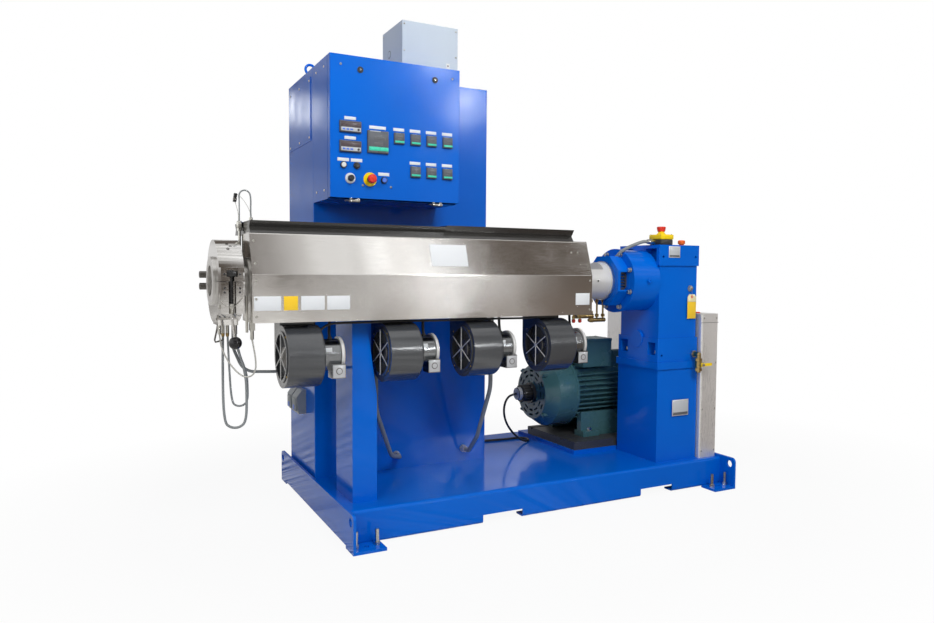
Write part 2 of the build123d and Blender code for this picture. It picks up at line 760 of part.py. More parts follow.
hood_profile = [(hood_half_width, hood_bottom), (hood_half_width, hood_knee),
                (hood_half_width - hood_setback, hood_top), (0, hood_top), (0, hood_bottom)]
with BuildPart() as hood_ends:
    with BuildSketch(Plane.YZ.offset(throat_left - end_wall)):
        for side in (-1, 1):
            with BuildLine():
                Polyline([(axis_y + side * y, z) for y, z in hood_profile], close=True)
            make_face()
        with Locations((axis_y, axis_z)):
            Circle(barrel_diameter / 2 + fit_gap, mode=Mode.SUBTRACT)
    extrude(amount=end_wall)
    with BuildSketch(Plane.YZ.offset(hood_left)):
        with BuildLine():
            Polyline((hood_front + end_inset, hood_bottom), (hood_front + end_inset, hood_knee),
                     (hood_front + hood_setback + end_inset, hood_top - end_inset),
                     (axis_y - hood_end_gap, hood_top - end_inset), (axis_y - hood_end_gap, hood_bottom),
                     close=True)
        make_face()
        with Locations((axis_y, axis_z)):
            Circle(barrel_diameter / 2 + fit_gap, mode=Mode.SUBTRACT)
    extrude(amount=end_wall)
keep(hood_ends, "hood_end_plates")

cap_front = hood_front + hood_setback
with BuildPart() as caps:
    for x0, x1, lift in ((hood_left + cap_inset, cap_split - cap_gap, 0.0),
                         (cap_split, throat_left - cap_right_short, cap_step)):
        with BuildSketch(Plane.YZ.offset(x0)):
            with BuildLine():
                Polyline((cap_front + cap_inset, hood_top), (cap_front + cap_throat, hood_top + cap_height / 2),
                         (cap_front, hood_top + cap_height + lift),
                         (2 * axis_y - cap_front, hood_top + cap_height + lift),
                         (2 * axis_y - cap_front - cap_throat, hood_top + cap_height / 2),
                         (2 * axis_y - cap_front - cap_inset, hood_top), close=True)
            make_face()
        extrude(amount=x1 - x0)
keep(caps, "hood_vent_caps")

# Electrical cabinet with the operator's panel box
with BuildPart() as cabinet:
    block(cabinet_left, cabinet_right, cabinet_front, cabinet_back, deck_height, cabinet_top)
    fillet(cabinet.edges().filter_by(Axis.Z), cabinet_bend)
keep(cabinet, "cabinet")

with BuildPart() as panel_box:
    with BuildSketch(Plane.YZ.offset(cabinet_left)):
        with BuildLine():
            Polyline((cabinet_front, cabinet_top), (panel_front + door_seat, cabinet_top),
                     (panel_front + door_seat, panel_bottom), (cabinet_front, panel_bottom), close=True)
        make_face()
    extrude(amount=panel_width)
    block(cabinet_left + cabinet_wall, panel_right - cabinet_wall, panel_front, cabinet_front - cabinet_wall,
          panel_bottom + cabinet_wall, cabinet_top - cabinet_wall, mode=Mode.SUBTRACT)
keep(panel_box, "panel_box")

door_bottom = panel_bottom + joint_gap
with BuildPart() as door:
    block(cabinet_left, panel_right, door_front, panel_front, door_bottom, cabinet_top)
    fillet(door.edges().filter_by(Axis.Z).group_by(Axis.Y)[0], cabinet_bend)
keep(door, "control_door")

hinge_y = door_front + hinge_diameter / 2
hinge_z = panel_bottom - hinge_diameter / 2
hinge_xs = (cabinet_left + hinge_inset, panel_right - hinge_inset)
with BuildPart() as hinges:
    for x in hinge_xs:
        rod_x(x - hinge_length / 4, x + hinge_length / 4, hinge_y, hinge_z, hinge_diameter)
        block(x - hinge_length / 4, x + hinge_length / 4, hinge_y, panel_front + door_seat + 40.0,
              hinge_z + hinge_diameter / 2 - hinge_leaf, hinge_z + hinge_diameter / 2)
        block(x - hinge_length / 2, x + hinge_length / 2, panel_front + door_seat + 5.0,
              panel_front + door_seat + 40.0, hinge_z + hinge_diameter / 2 - hinge_leaf, panel_bottom)
keep(hinges, "door_hinge_leaves")

with BuildPart() as knuckles:
    for x in hinge_xs:
        for side in (-1, 1):
            x0, x1 = sorted((x + side * (hinge_length / 4 + fit_gap), x + side * hinge_length / 2))
            rod_x(x0, x1, hinge_y, hinge_z, hinge_diameter)
            block(x0, x1, hinge_y - hinge_leaf / 2, hinge_y + hinge_leaf / 2, hinge_z, door_bottom)
keep(knuckles, "door_hinge_knuckles")


def on_door(x, z, wide, tall, depth):
    """A block standing on the door's face, its upper left corner at x, z."""
    block(x, x + wide, door_front - depth, door_front, z - tall, z)


with BuildPart() as meters:
    for step in range(2):
        on_door(cabinet_left + meter_inset, meter_top - step * meter_pitch, large_module, small_module, instrument_bezel)
keep(meters, "digital_meters")

zone_start = cabinet_left + zone_inset
with BuildPart() as controllers:
    on_door(cabinet_left + controller_inset, instrument_top, large_module, large_module, instrument_bezel)
    for column in range(4):
        on_door(zone_start + column * zone_pitch, instrument_top, small_module, small_module, instrument_bezel)
    for column in range(1, 4):
        on_door(zone_start + column * zone_pitch, instrument_top - row_drop, small_module, small_module,
                instrument_bezel)
keep(controllers, "temperature_controllers")

dial_x = cabinet_left + dial_spot[0]
dial_z = panel_bottom + dial_spot[1]
with BuildPart() as buttons:
    for inset, rise in button_spots:
        rod_y(door_front - button_reach, door_front, cabinet_left + inset, panel_bottom + rise, button_diameter)
    rod_y(door_front - dial_plate, door_front, dial_x, dial_z, dial_diameter)
    rod_y(door_front - dial_plate - dial_reach, door_front - dial_plate, dial_x, dial_z, dial_knob)
    for inset in latch_insets:
        rod_y(door_front - latch_reach, door_front, cabinet_left + inset, cabinet_top - latch_drop, latch_diameter)
keep(buttons, "door_controls")

stop_x = cabinet_left + stop_spot[0]
stop_z = panel_bottom + stop_spot[1]
stop_seat = door_front - stop_plate
with BuildPart() as stop_button:
    rod_y(stop_seat, door_front, stop_x, stop_z, stop_disc_diameter)
    rod_y(stop_seat - stop_neck, stop_seat, stop_x, stop_z, stop_neck_diameter)
    rod_y(stop_seat - stop_neck - stop_cap, stop_seat - stop_neck, stop_x, stop_z, stop_button_diameter)
    fillet(stop_button.edges().group_by(Axis.Y)[0], stop_round)
keep(stop_button, "door_stop_button")

with BuildPart() as top_box:
    block(top_box_left, top_box_left + top_box_width, top_box_front, top_box_front + top_box_depth,
          cabinet_top, cabinet_top + top_box_height)
keep(top_box, "resistor_box")

with BuildPart() as access_panel:
    block(cabinet_left - access_thickness, cabinet_left, cabinet_front + side_panel_inset,
          cabinet_back - side_panel_inset, cabinet_top - access_height, cabinet_top - side_panel_inset)
keep(access_panel, "side_access_panel")

with BuildPart() as sockets:
    for step in range(2):
        y = cabinet_front + socket_front + step * (socket_width + socket_gap)
        with BuildSketch(Plane.XZ.offset(-y)):
            with BuildLine():
                Polyline((cabinet_left, socket_z - socket_height / 2),
                         (cabinet_left - socket_bottom_depth, socket_z - socket_height / 2),
                         (cabinet_left - socket_depth, socket_z + socket_height / 2 - socket_shoulder),
                         (cabinet_left - socket_top_depth, socket_z + socket_height / 2),
                         (cabinet_left, socket_z + socket_height / 2), close=True)
            make_face()
        extrude(amount=-socket_width)
    fillet(sockets.edges().filter_by(Axis.Y).group_by(Axis.X)[0], socket_round)
keep(sockets, "socket_outlets")

with BuildPart() as eyes:
    for x, y in ((cabinet_left + eye_inset, cabinet_front + eye_depth),
                 (cabinet_right - eye_inset, cabinet_back - eye_depth)):
        rod_z(cabinet_top, cabinet_top + eye_wire, x, y, eye_foot)
        with Locations(Location((x, y, cabinet_top + eye_ring / 2 + eye_wire), (90, 0, 0))):
            Torus(eye_ring / 2, eye_wire / 2)
keep(eyes, "lifting_eyes")

# Drive motor on its slide base and pad
motor_right = motor_left + motor_bell_length + motor_length
frame_left = motor_left + motor_bell_length
base_top = deck_height + pad_height + slide_base_height
with BuildPart() as pad:
    block(pad_left, pad_right, pad_front, pad_back, deck_height, deck_height + pad_height)
keep(pad, "motor_pad")

with BuildPart() as slide_base:
    block(pad_left + slide_inset, pad_right, motor_y - slide_front, motor_y + slide_back, deck_height + pad_height,
          base_top)
    for side in (-1, 1):
        y = motor_y + side * motor_foot_span
        block(pad_left + slide_inset, pad_right, y - slide_slot / 2, y + slide_slot / 2, base_top - slide_slot_depth,
              base_top, mode=Mode.SUBTRACT)
keep(slide_base, "motor_slide_rails")

motor_radius = motor_diameter / 2
with BuildPart() as motor:
    rod_x(frame_left, motor_right, motor_y, motor_z, motor_core)
    for step in range(-motor_fin_rows, motor_fin_rows + 1):
        lift = step * motor_fin_pitch
        reach = sqrt(motor_radius ** 2 - (abs(lift) + motor_fin_thickness / 2) ** 2)
        crest = motor_top_rise if lift - motor_fin_thickness / 2 > -terminal_back else 0.0
        block(frame_left, motor_right - motor_fin_short, motor_y - reach, motor_y + reach,
              motor_z + lift - motor_fin_thickness / 2, motor_z + lift + motor_fin_thickness / 2)
        block(frame_left, motor_right - motor_fin_short, motor_y + lift - motor_fin_thickness / 2,
              motor_y + lift + motor_fin_thickness / 2, motor_z, motor_z + reach + crest)
    for side in (-1, 1):
        y = motor_y + side * motor_foot_span
        for foot_x in (frame_left + motor_foot_inset, motor_right - motor_foot_inset - motor_foot_length):
            block(foot_x, foot_x + motor_foot_length, y - motor_foot_width / 2, y + motor_foot_width / 2, base_top,
                  base_top + motor_foot_height)
        block(frame_left + motor_foot_inset, motor_right - motor_foot_inset, y - motor_web_width / 2,
              y + motor_web_width / 2, base_top, motor_z - motor_foot_rise)
    rod_x(motor_right, guard_left, motor_y, motor_z, motor_shaft)
keep(motor, "motor_frame")

with BuildPart() as bell:
    with BuildSketch(Plane.XZ.offset(-motor_y)):
        with BuildLine():
            Polyline((frame_left, motor_z), (motor_left, motor_z), (motor_left, motor_z + bell_face / 2),
                     (motor_left + bell_shoulder / 2, motor_z + motor_radius - bell_shoulder),
                     (motor_left + bell_shoulder * 2, motor_z + motor_radius), (frame_left, motor_z + motor_radius),
                     close=True)
        make_face()
    revolve(axis=Axis((0, motor_y, motor_z), (1, 0, 0)))
    for row in bell_vent_rows:
        with BuildSketch(Plane.YZ.offset(motor_left)):
            with Locations((motor_y, motor_z)):
                with PolarLocations(row, bell_vents):
                    Rectangle(bell_vent_width, bell_vent_length)
        extrude(amount=bell_vent_depth, mode=Mode.SUBTRACT)
keep(bell, "motor_end_bell")

encoder_left = motor_left - encoder_length
with BuildPart() as encoder:
    rod_x(motor_left - encoder_base_length, motor_left, motor_y, motor_z, encoder_base_diameter)
    rod_x(encoder_left + encoder_cap_length, motor_left - encoder_base_length, motor_y, motor_z, encoder_diameter)
    rod_x(encoder_left, encoder_left + encoder_cap_length, motor_y, motor_z, encoder_cap_diameter)
    with BuildSketch(Plane.YZ.offset(encoder_left + encoder_cap_length)):
        with Locations((motor_y, motor_z)):
            with PolarLocations(encoder_diameter / 2, encoder_grooves):
                Rectangle(2 * encoder_groove, encoder_groove)
    extrude(amount=encoder_length - encoder_cap_length - encoder_base_length, mode=Mode.SUBTRACT)
keep(encoder, "motor_encoder")

with BuildPart() as terminal_box:
    block(terminal_left, terminal_left + terminal_length, motor_y - terminal_front, motor_y - terminal_back,
          motor_z + terminal_lift, motor_z + terminal_lift + terminal_height)
    rod_x(frame_left, motor_right, motor_y, motor_z, motor_diameter + 2 * fit_gap, mode=Mode.SUBTRACT)
keep(terminal_box, "motor_terminal_box")

with BuildPart() as belt_guard:
    block(guard_left, guard_left + guard_width, guard_front, guard_back, deck_height, guard_top)
    fillet(belt_guard.edges().filter_by(Axis.Z).group_by(Axis.Y)[0], 10.0)
keep(belt_guard, "belt_guard")

# Small pieces on the gearbox
with BuildPart() as stop_station:
    block(station_left, station_left + station_width, gear_front + 16.0, gear_front + 16.0 + station_width,
          gear_top, gear_top + station_base)
    station_x = station_left + station_width / 2
    station_y = gear_front + 16.0 + station_width / 2
    block(station_left - 3.0, station_left + station_width + 3.0, gear_front + 13.0,
          gear_front + 19.0 + station_width, gear_top + station_base, gear_top + station_base + station_cover)
    rod_z(gear_top + station_base + station_cover, gear_top + station_base + station_cover + 16.0, station_x,
          station_y, 32.0)
    button_z = gear_top + station_base + station_cover + 16.0
    rod_z(button_z, button_z + 26.0, station_x, station_y, 44.0)
    fillet(stop_station.edges().group_by(Axis.Z)[-1], 8.0)
keep(stop_station, "stop_station")

with BuildPart() as breather:
    rod_z(gear_top, gear_top + 8.0, breather_x, gear_front + 50.0, 26.0)
    rod_z(gear_top + 8.0, gear_top + 28.0, breather_x, gear_front + 50.0, 38.0)
    rod_y(body_front - 14.0, body_front, 835.0, 1027.0, 34.0)
keep(breather, "oil_plugs")

with BuildPart() as drain:
    rod_y(gear_front - 44.0, gear_front, drain_x, drain_z, 26.0)
    with Locations((drain_x, gear_front - 44.0, drain_z)):
        Sphere(13.0)
    rod_z(drain_z - 92.0, drain_z, drain_x, gear_front - 44.0, 24.0)
    rod_z(drain_z - 66.0, drain_z - 34.0, drain_x, gear_front - 44.0, 36.0)
    rod_y(gear_front - 70.0, gear_front - 44.0, drain_x, valve_z, 16.0)
keep(drain, "drain_valve")

with BuildPart() as valve_lever:
    lever_back = gear_front - 70.0 - fit_gap
    block(drain_x - 9.0, drain_x + 9.0, lever_back - 6.0, lever_back, valve_z - 9.0, valve_z + 9.0)
    block(drain_x + 9.0, drain_x + valve_reach, lever_back - 6.0, lever_back, valve_z - 7.0, valve_z + 7.0)
keep(valve_lever, "drain_valve_lever")

with BuildPart() as water_pipes:
    for x in (throat_left + 100.0, throat_left + 150.0):
        rod_z(axis_z - throat_diameter / 2 - 78.0, axis_z - throat_diameter / 2 - fit_gap, x, axis_y, 12.0)
        rod_x(x - 40.0, x + 12.0, axis_y, axis_z - throat_diameter / 2 - 84.0, 24.0)
keep(water_pipes, "cooling_water_pipes")

# Melt sensor between the clamp and the hood, and the fittings that the leads leave from
sensor_x = (barrel_left + hood_left) / 2
sensor_foot = axis_z + barrel_diameter / 2 + fit_gap
sensor_neck = sensor_foot + sensor_neck_length
with BuildPart() as sensor:
    rod_z(sensor_foot, sensor_neck, sensor_x, axis_y, sensor_stem)
    rod_z(sensor_neck, sensor_neck + sensor_head_length, sensor_x, axis_y, sensor_head)
keep(sensor, "melt_sensor")

with BuildPart() as fittings:
    for x, y in lead_spots:
        rod_z(boss_bottom - lead_gland_length, boss_bottom, x, y, lead_gland)
    block(hood_left, hood_left + bracket_depth, min(bracket_ys) - bracket_margin,
          max(bracket_ys) + bracket_margin, hood_bottom - bracket_height, hood_bottom)
    for y in bracket_ys:
        rod_z(hood_bottom - bracket_height - lead_gland_length, hood_bottom - bracket_height,
              hood_left + bracket_depth / 2, y, lead_gland)
    rod_z(hood_top + cap_height, sensor_gland_top, sensor_gland_x, axis_y, lead_gland)
    rod_x(cabinet_right, cabinet_right + cable_gland_length, cable_gland_y, cable_gland_z, cable_gland)
keep(fittings, "lead_fittings")


def corner_radii(points, share=0.45):
    """The largest arc at each corner of a route that its two runs leave room for."""
    route = [Vector(*point) for point in points]
    radii = []
    for before, corner, after in zip(route, route[1:], route[2:]):
        arriving = corner - before
        leaving = after - corner
        half_turn = radians(arriving.get_angle(leaving)) / 2
        radii.append(share * min(arriving.length, leaving.length) / tan(half_turn))
    return radii


def lead(name, points, diameter):
    """A round lead along straight runs and tangent arcs, written as its own sub-part."""
    radii = corner_radii(points)
    print(name, "smallest radius", round(min(radii), 1), "diameter", diameter)
    with BuildPart() as cable:
        with BuildLine() as route:
            FilletPolyline(*points, radius=radii)
        path = route.wire()
        with BuildSketch(Plane(origin=path @ 0, z_dir=path % 0)):
            Circle(diameter / 2)
        sweep(path=path)
    tube_volume = pi * diameter ** 2 / 4 * path.length
    print("  length", round(path.length, 1), "volume over section times length",
          round(cable.part.volume / tube_volume, 4))
    keep(cable, name)


lead("sensor_cable_long", LONG_CABLE, long_cable)
lead("sensor_cable_short", SHORT_CABLE, short_cable)
lead("thermocouple_lead", THERMO_LEAD, thermo_lead)
lead("melt_sensor_lead", SENSOR_LEAD, sensor_lead)
lead("encoder_cable", ENCODER_CABLE, encoder_cable)

with BuildPart() as conduits:
    for route_points, radii, bore in CONDUITS:
        with BuildLine(mode=Mode.PRIVATE) as run:
            FilletPolyline(*route_points, radius=radii)
        path = run.wire()
        with BuildSketch(Plane(origin=path @ 0, z_dir=path % 0)):
            Circle(bore / 2)
        sweep(path=path)
keep(conduits, "heater_conduits")
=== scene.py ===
"""Looks of a single-screw plastic extruder: finishes, fasteners, instruments, guards and leads.

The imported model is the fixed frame: X along the screw with the die end at -X, the operator's side at -Y,
and Z up. Sizes are in metres, except where a class says millimetres.
"""
import logging
import math
from dataclasses import dataclass
from enum import Enum
from typing import Callable, Iterable, Iterator, Optional, Sequence, Union

import bmesh
import bpy
from mathutils import Matrix, Vector


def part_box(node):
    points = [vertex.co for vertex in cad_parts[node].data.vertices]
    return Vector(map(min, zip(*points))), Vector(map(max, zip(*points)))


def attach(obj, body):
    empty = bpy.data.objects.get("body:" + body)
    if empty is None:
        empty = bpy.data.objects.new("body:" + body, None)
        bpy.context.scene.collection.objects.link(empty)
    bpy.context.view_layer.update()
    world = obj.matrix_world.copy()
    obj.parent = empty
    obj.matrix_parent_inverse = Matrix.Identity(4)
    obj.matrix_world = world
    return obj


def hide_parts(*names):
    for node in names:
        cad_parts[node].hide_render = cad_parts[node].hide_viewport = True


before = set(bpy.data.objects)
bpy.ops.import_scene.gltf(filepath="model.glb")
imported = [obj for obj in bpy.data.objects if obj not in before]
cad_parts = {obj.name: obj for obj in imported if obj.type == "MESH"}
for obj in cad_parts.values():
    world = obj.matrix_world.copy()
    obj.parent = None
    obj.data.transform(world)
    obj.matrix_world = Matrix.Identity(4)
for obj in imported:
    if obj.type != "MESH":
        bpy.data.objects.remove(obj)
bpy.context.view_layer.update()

log = logging.getLogger("extruder")
Point = tuple[float, float, float]
Colour = tuple[float, float, float]
Profile = Sequence[tuple[float, float]]
Feed = Union[bpy.types.NodeSocket, float, tuple]
SKIN_OUTPUTS = (("Colour", "NodeSocketColor"), ("Roughness", "NodeSocketFloat"),
                ("Height", "NodeSocketFloat"))


class Body(Enum):
    """The rigid bodies of the machine."""

    SKID = "skid"
    DOOR = "door"
    LEVER = "valve_lever"


class Grain(Enum):
    """The direction that a metal was brushed or turned in."""

    ALONG_X = (1.2, 60.0, 60.0)
    UPRIGHT = (90.0, 90.0, 1.5)
    TURNED = (140.0, 9.0, 9.0)


# Shader node groups

def new_group(name: str, inputs: Sequence[tuple]) -> tuple:
    """Start a shader node group that gives a surface's colour, roughness and height.

    Args:
        name: The group's name.
        inputs: Name, socket type and default of each input.
    Returns:
        The group, its input node and its output node.
    """
    group = bpy.data.node_groups.new(name, "ShaderNodeTree")
    for label, kind, default in inputs:
        socket = group.interface.new_socket(label, in_out="INPUT", socket_type=kind)
        socket.default_value = default
    for label, kind in SKIN_OUTPUTS:
        group.interface.new_socket(label, in_out="OUTPUT", socket_type=kind)
    return group, group.nodes.new("NodeGroupInput"), group.nodes.new("NodeGroupOutput")


def close_group(group: bpy.types.NodeTree, out: bpy.types.Node, sockets: Sequence) -> None:
    """Link a group's colour, roughness and height to its outputs."""
    for (label, _), socket in zip(SKIN_OUTPUTS, sockets):
        group.links.new(socket, out.inputs[label])


class Graph:
    """A short way to add and link shader nodes."""

    def __init__(self, tree: bpy.types.NodeTree) -> None:
        """Wrap a node tree."""
        self.tree = tree

    def add(self, kind: str, links: Optional[dict] = None, **settings) -> bpy.types.Node:
        """Add a node.

        Args:
            kind: The node's type, without the ShaderNode prefix.
            links: Input name or index to an output socket or a plain value.
            settings: Attributes of the node.
        Returns:
            The node.
        """
        node = self.tree.nodes.new("ShaderNode" + kind)
        for key, value in settings.items():
            setattr(node, key, value)
        for key, value in (links or {}).items():
            self.feed(node, key, value)
        return node

    def feed(self, node: bpy.types.Node, key: Union[int, str], value: Feed) -> None:
        """Link an output socket to a node's input, or set the input's plain value."""
        if isinstance(value, bpy.types.NodeSocket):
            self.tree.links.new(value, node.inputs[key])
        else:
            node.inputs[key].default_value = value

    def noise(self, vector: Feed, scale: float, detail: float = 2.0) -> bpy.types.NodeSocket:
        """A noise texture's value at a vector socket."""
        return self.add("TexNoise", {"Vector": vector, "Scale": scale, "Detail": detail}).outputs["Fac"]

    def stripes(self, value: Feed, scale: float, detail: float) -> bpy.types.NodeSocket:
        """Uneven stripes along one value."""
        links = {"W": value, "Scale": scale, "Detail": detail}
        return self.add("TexNoise", links, noise_dimensions="1D").outputs[0]

    def ramp(self, value: Feed, low: float, high: float, to_low: float = 0.0,
             to_high: float = 1.0) -> bpy.types.NodeSocket:
        """A value mapped and clamped from one range to another."""
        links = {"Value": value, "From Min": low, "From Max": high, "To Min": to_low, "To Max": to_high}
        return self.add("MapRange", links).outputs["Result"]

    def math(self, operation: str, first: Feed, second: Feed) -> bpy.types.NodeSocket:
        """One arithmetic step."""
        return self.add("Math", {0: first, 1: second}, operation=operation).outputs[0]

    def gap(self, value: Feed, middle: float) -> bpy.types.NodeSocket:
        """How far a value lies from a middle one."""
        return self.math("ABSOLUTE", self.math("SUBTRACT", value, middle), 0.0)

    def mix(self, factor: Feed, first: Feed, second: Feed) -> bpy.types.NodeSocket:
        """Two colours mixed by a factor."""
        node = self.add("Mix", data_type="RGBA", clamp_factor=False)
        for index, value in ((0, factor), (6, first), (7, second)):
            self.feed(node, index, value)
        return node.outputs[2]


def paint_group() -> bpy.types.NodeTree:
    """Sprayed enamel: slow colour drift, orange peel, fine dust and a slightly uneven gloss.

    Returns:
        The node group, with Colour, Roughness and Height outputs.
    """
    group, given, out = new_group(
        "Sprayed enamel",
        [("Colour", "NodeSocketColor", (0.5, 0.5, 0.5, 1)), ("Shade", "NodeSocketColor", (0.4, 0.4, 0.4, 1)),
         ("Roughness", "NodeSocketFloat", 0.3), ("Peel", "NodeSocketFloat", 90.0),
         ("Dust", "NodeSocketFloat", 0.05)])
    graph = Graph(group)
    place = graph.add("TexCoord").outputs["Object"]
    drift = graph.ramp(graph.noise(place, 2.3, 3.0), 0.32, 0.68)
    speck = graph.ramp(graph.noise(place, 240.0, 2.0), 0.62, 0.74)
    coat = graph.mix(drift, given.outputs["Colour"], given.outputs["Shade"])
    dusty = graph.math("MULTIPLY", speck, given.outputs["Dust"])
    colour = graph.mix(dusty, coat, (0.75, 0.75, 0.72, 1))
    uneven = graph.ramp(graph.noise(place, 7.0, 3.0), 0.3, 0.7, -0.05, 0.06)
    rough = graph.math("ADD", given.outputs["Roughness"], uneven)
    scale = graph.add("VectorMath", {0: place}, operation="SCALE")
    group.links.new(given.outputs["Peel"], scale.inputs["Scale"])
    peel = graph.noise(scale.outputs[0], 1.0, 1.0)
    close_group(group, out, (colour, rough, peel))
    return group


def brushed_group() -> bpy.types.NodeTree:
    """Brushed or turned metal: long fine scratches, fingerprints, and colour banding along X that is partly
    random tonal change and partly a painted reflection.

    Returns:
        The node group, with Colour, Roughness and Height outputs.
    """
    group, given, out = new_group(
        "Brushed metal",
        [("Colour", "NodeSocketColor", (0.6, 0.6, 0.6, 1)), ("Shade", "NodeSocketColor", (0.4, 0.4, 0.4, 1)),
         ("Roughness", "NodeSocketFloat", 0.3), ("Grain", "NodeSocketVector", (1, 60, 60)),
         ("Tonal and reflection banding", "NodeSocketFloat", 0.5)])
    graph = Graph(group)
    place = graph.add("TexCoord").outputs["Object"]
    combed = graph.add("VectorMath", {0: place, 1: given.outputs["Grain"]}, operation="MULTIPLY").outputs[0]
    scratch = graph.noise(combed, 14.0, 4.0)
    # Banding along X only: partly random tonal change, partly painted reflection stripes that stand in for
    # the room seen in the steel.
    apart = graph.add("SeparateXYZ", {0: place})
    along = graph.add("CombineXYZ", {0: apart.outputs[0], 1: 0.0, 2: 0.0}).outputs[0]
    tonal_and_reflection_stripes = graph.ramp(graph.noise(along, 3.1, 1.5), 0.36, 0.64)
    tonal_and_reflection_share = graph.math("MULTIPLY", tonal_and_reflection_stripes, given.outputs["Tonal and reflection banding"])
    line = graph.math("MULTIPLY", graph.ramp(scratch, 0.3, 0.7), 0.22)
    colour = graph.mix(graph.math("ADD", tonal_and_reflection_share, line), given.outputs["Colour"], given.outputs["Shade"])
    smear = graph.ramp(graph.noise(place, 5.0, 4.0), 0.45, 0.7, 0.0, 0.07)
    rough = graph.math("ADD", given.outputs["Roughness"],
                       graph.math("ADD", smear, graph.ramp(scratch, 0.2, 0.8, -0.05, 0.07)))
    close_group(group, out, (colour, rough, scratch))
    return group


def moulded_group() -> bpy.types.NodeTree:
    """Moulded plastic or rubber: fine spark texture, faint mottling and a matt bloom.

    Returns:
        The node group, with Colour, Roughness and Height outputs.
    """
    group, given, out = new_group(
        "Moulded skin",
        [("Colour", "NodeSocketColor", (0.1, 0.1, 0.1, 1)), ("Bloom", "NodeSocketFloat", 0.08),
         ("Roughness", "NodeSocketFloat", 0.45), ("Texture", "NodeSocketFloat", 900.0)])
    graph = Graph(group)
    place = graph.add("TexCoord").outputs["Object"]
    patch = graph.math("MULTIPLY", graph.ramp(graph.noise(place, 22.0, 3.0), 0.35, 0.75),
                       given.outputs["Bloom"])
    colour = graph.mix(patch, given.outputs["Colour"], (0.6, 0.6, 0.58, 1))
    rough = graph.math("ADD", given.outputs["Roughness"],
                       graph.ramp(graph.noise(place, 35.0, 2.0), 0.3, 0.7, -0.06, 0.08))
    scale = graph.add("VectorMath", {0: place}, operation="SCALE")
    group.links.new(given.outputs["Texture"], scale.inputs["Scale"])
    grain = graph.noise(scale.outputs[0], 1.0, 1.0)
    close_group(group, out, (colour, rough, grain))
    return group


class Groups:
    """The shared node groups, each built once."""

    made: dict[str, bpy.types.NodeTree] = {}
    makers: dict[str, Callable[[], bpy.types.NodeTree]] = {
        "paint": paint_group, "brushed": brushed_group, "moulded": moulded_group}

    @classmethod
    def get(cls, name: str) -> bpy.types.NodeTree:
        """The named group, made at first use."""
        if name not in cls.made:
            cls.made[name] = cls.makers[name]()
        return cls.made[name]


# Finishes

@dataclass(frozen=True)
class Finish:
    """A finish and the material that shows it."""

    name: str
    colour: Colour
    slot: str
    roughness: float = 0.35
    bump: float = 0.05
    bump_distance: float = 0.0006

    def group_name(self) -> str:
        """The shared group that this finish uses."""
        return "moulded"

    def group_inputs(self) -> dict:
        """Values of the group's own inputs."""
        return {}

    def shader(self, node: bpy.types.Node) -> None:
        """Set what is the same all over the surface."""

    def material(self) -> bpy.types.Material:
        """The finish's material, made at first use.

        Returns:
            A material whose colour, roughness and normal come from the shared group.
        """
        label = self.name + "_look"
        made = bpy.data.materials.get(label)
        if made:
            return made
        material = bpy.data.materials.new(label)
        material.use_nodes = True
        material.diffuse_color = (*self.colour, 1)
        tree = material.node_tree
        shader = tree.nodes["Principled BSDF"]
        graph = Graph(tree)
        skin = graph.add("Group")
        skin.node_tree = Groups.get(self.group_name())
        values = {"Colour": (*self.colour, 1), "Roughness": self.roughness, **self.group_inputs()}
        for key, value in values.items():
            skin.inputs[key].default_value = value
        tree.links.new(skin.outputs["Colour"], shader.inputs["Base Color"])
        tree.links.new(skin.outputs["Roughness"], shader.inputs["Roughness"])
        if self.bump > 0:
            relief = graph.add("Bump", {"Height": skin.outputs["Height"], "Strength": self.bump,
                                        "Distance": self.bump_distance})
            tree.links.new(relief.outputs["Normal"], shader.inputs["Normal"])
        self.shader(shader)
        return material


@dataclass(frozen=True)
class Paint(Finish):
    """Sprayed paint with a clear gloss."""

    shade: Colour = (0.4, 0.4, 0.4)
    peel: float = 160.0
    dust: float = 0.05
    coat: float = 0.0
    specular: float = 0.5

    def group_name(self) -> str:
        """Paint uses the enamel group."""
        return "paint"

    def group_inputs(self) -> dict:
        """Shade, peel and dust of the enamel."""
        return {"Shade": (*self.shade, 1), "Peel": self.peel, "Dust": self.dust}

    def shader(self, node: bpy.types.Node) -> None:
        """A clear coat on gloss paint."""
        node.inputs["Specular IOR Level"].default_value = self.specular
        node.inputs["Coat Weight"].default_value = self.coat
        node.inputs["Coat Roughness"].default_value = 0.06


@dataclass(frozen=True)
class Metal(Finish):
    """Bare metal, brushed, turned or polished."""

    shade: Colour = (0.4, 0.4, 0.4)
    grain: Grain = Grain.ALONG_X
    # Strength of the banding along X: partly random tonal change, partly painted reflection.
    tonal_and_reflection_banding: float = 0.4
    metallic: float = 1.0
    stretch: float = 0.0

    def group_name(self) -> str:
        """Metal uses the brushed group."""
        return "brushed"

    def group_inputs(self) -> dict:
        """Shade, brushing direction and the strength of the banding along X, partly random tonal change and
        partly painted reflection.
        """
        return {"Shade": (*self.shade, 1), "Grain": self.grain.value, "Tonal and reflection banding": self.tonal_and_reflection_banding}

    def shader(self, node: bpy.types.Node) -> None:
        """Metallic, or partly so where a blasted surface scatters."""
        node.inputs["Metallic"].default_value = self.metallic
        if self.stretch > 0:
            tree = node.id_data
            across = tree.nodes.new("ShaderNodeTangent")
            across.direction_type = "RADIAL"
            across.axis = "X"
            tree.links.new(across.outputs["Tangent"], node.inputs["Tangent"])
            node.inputs["Anisotropic"].default_value = self.stretch


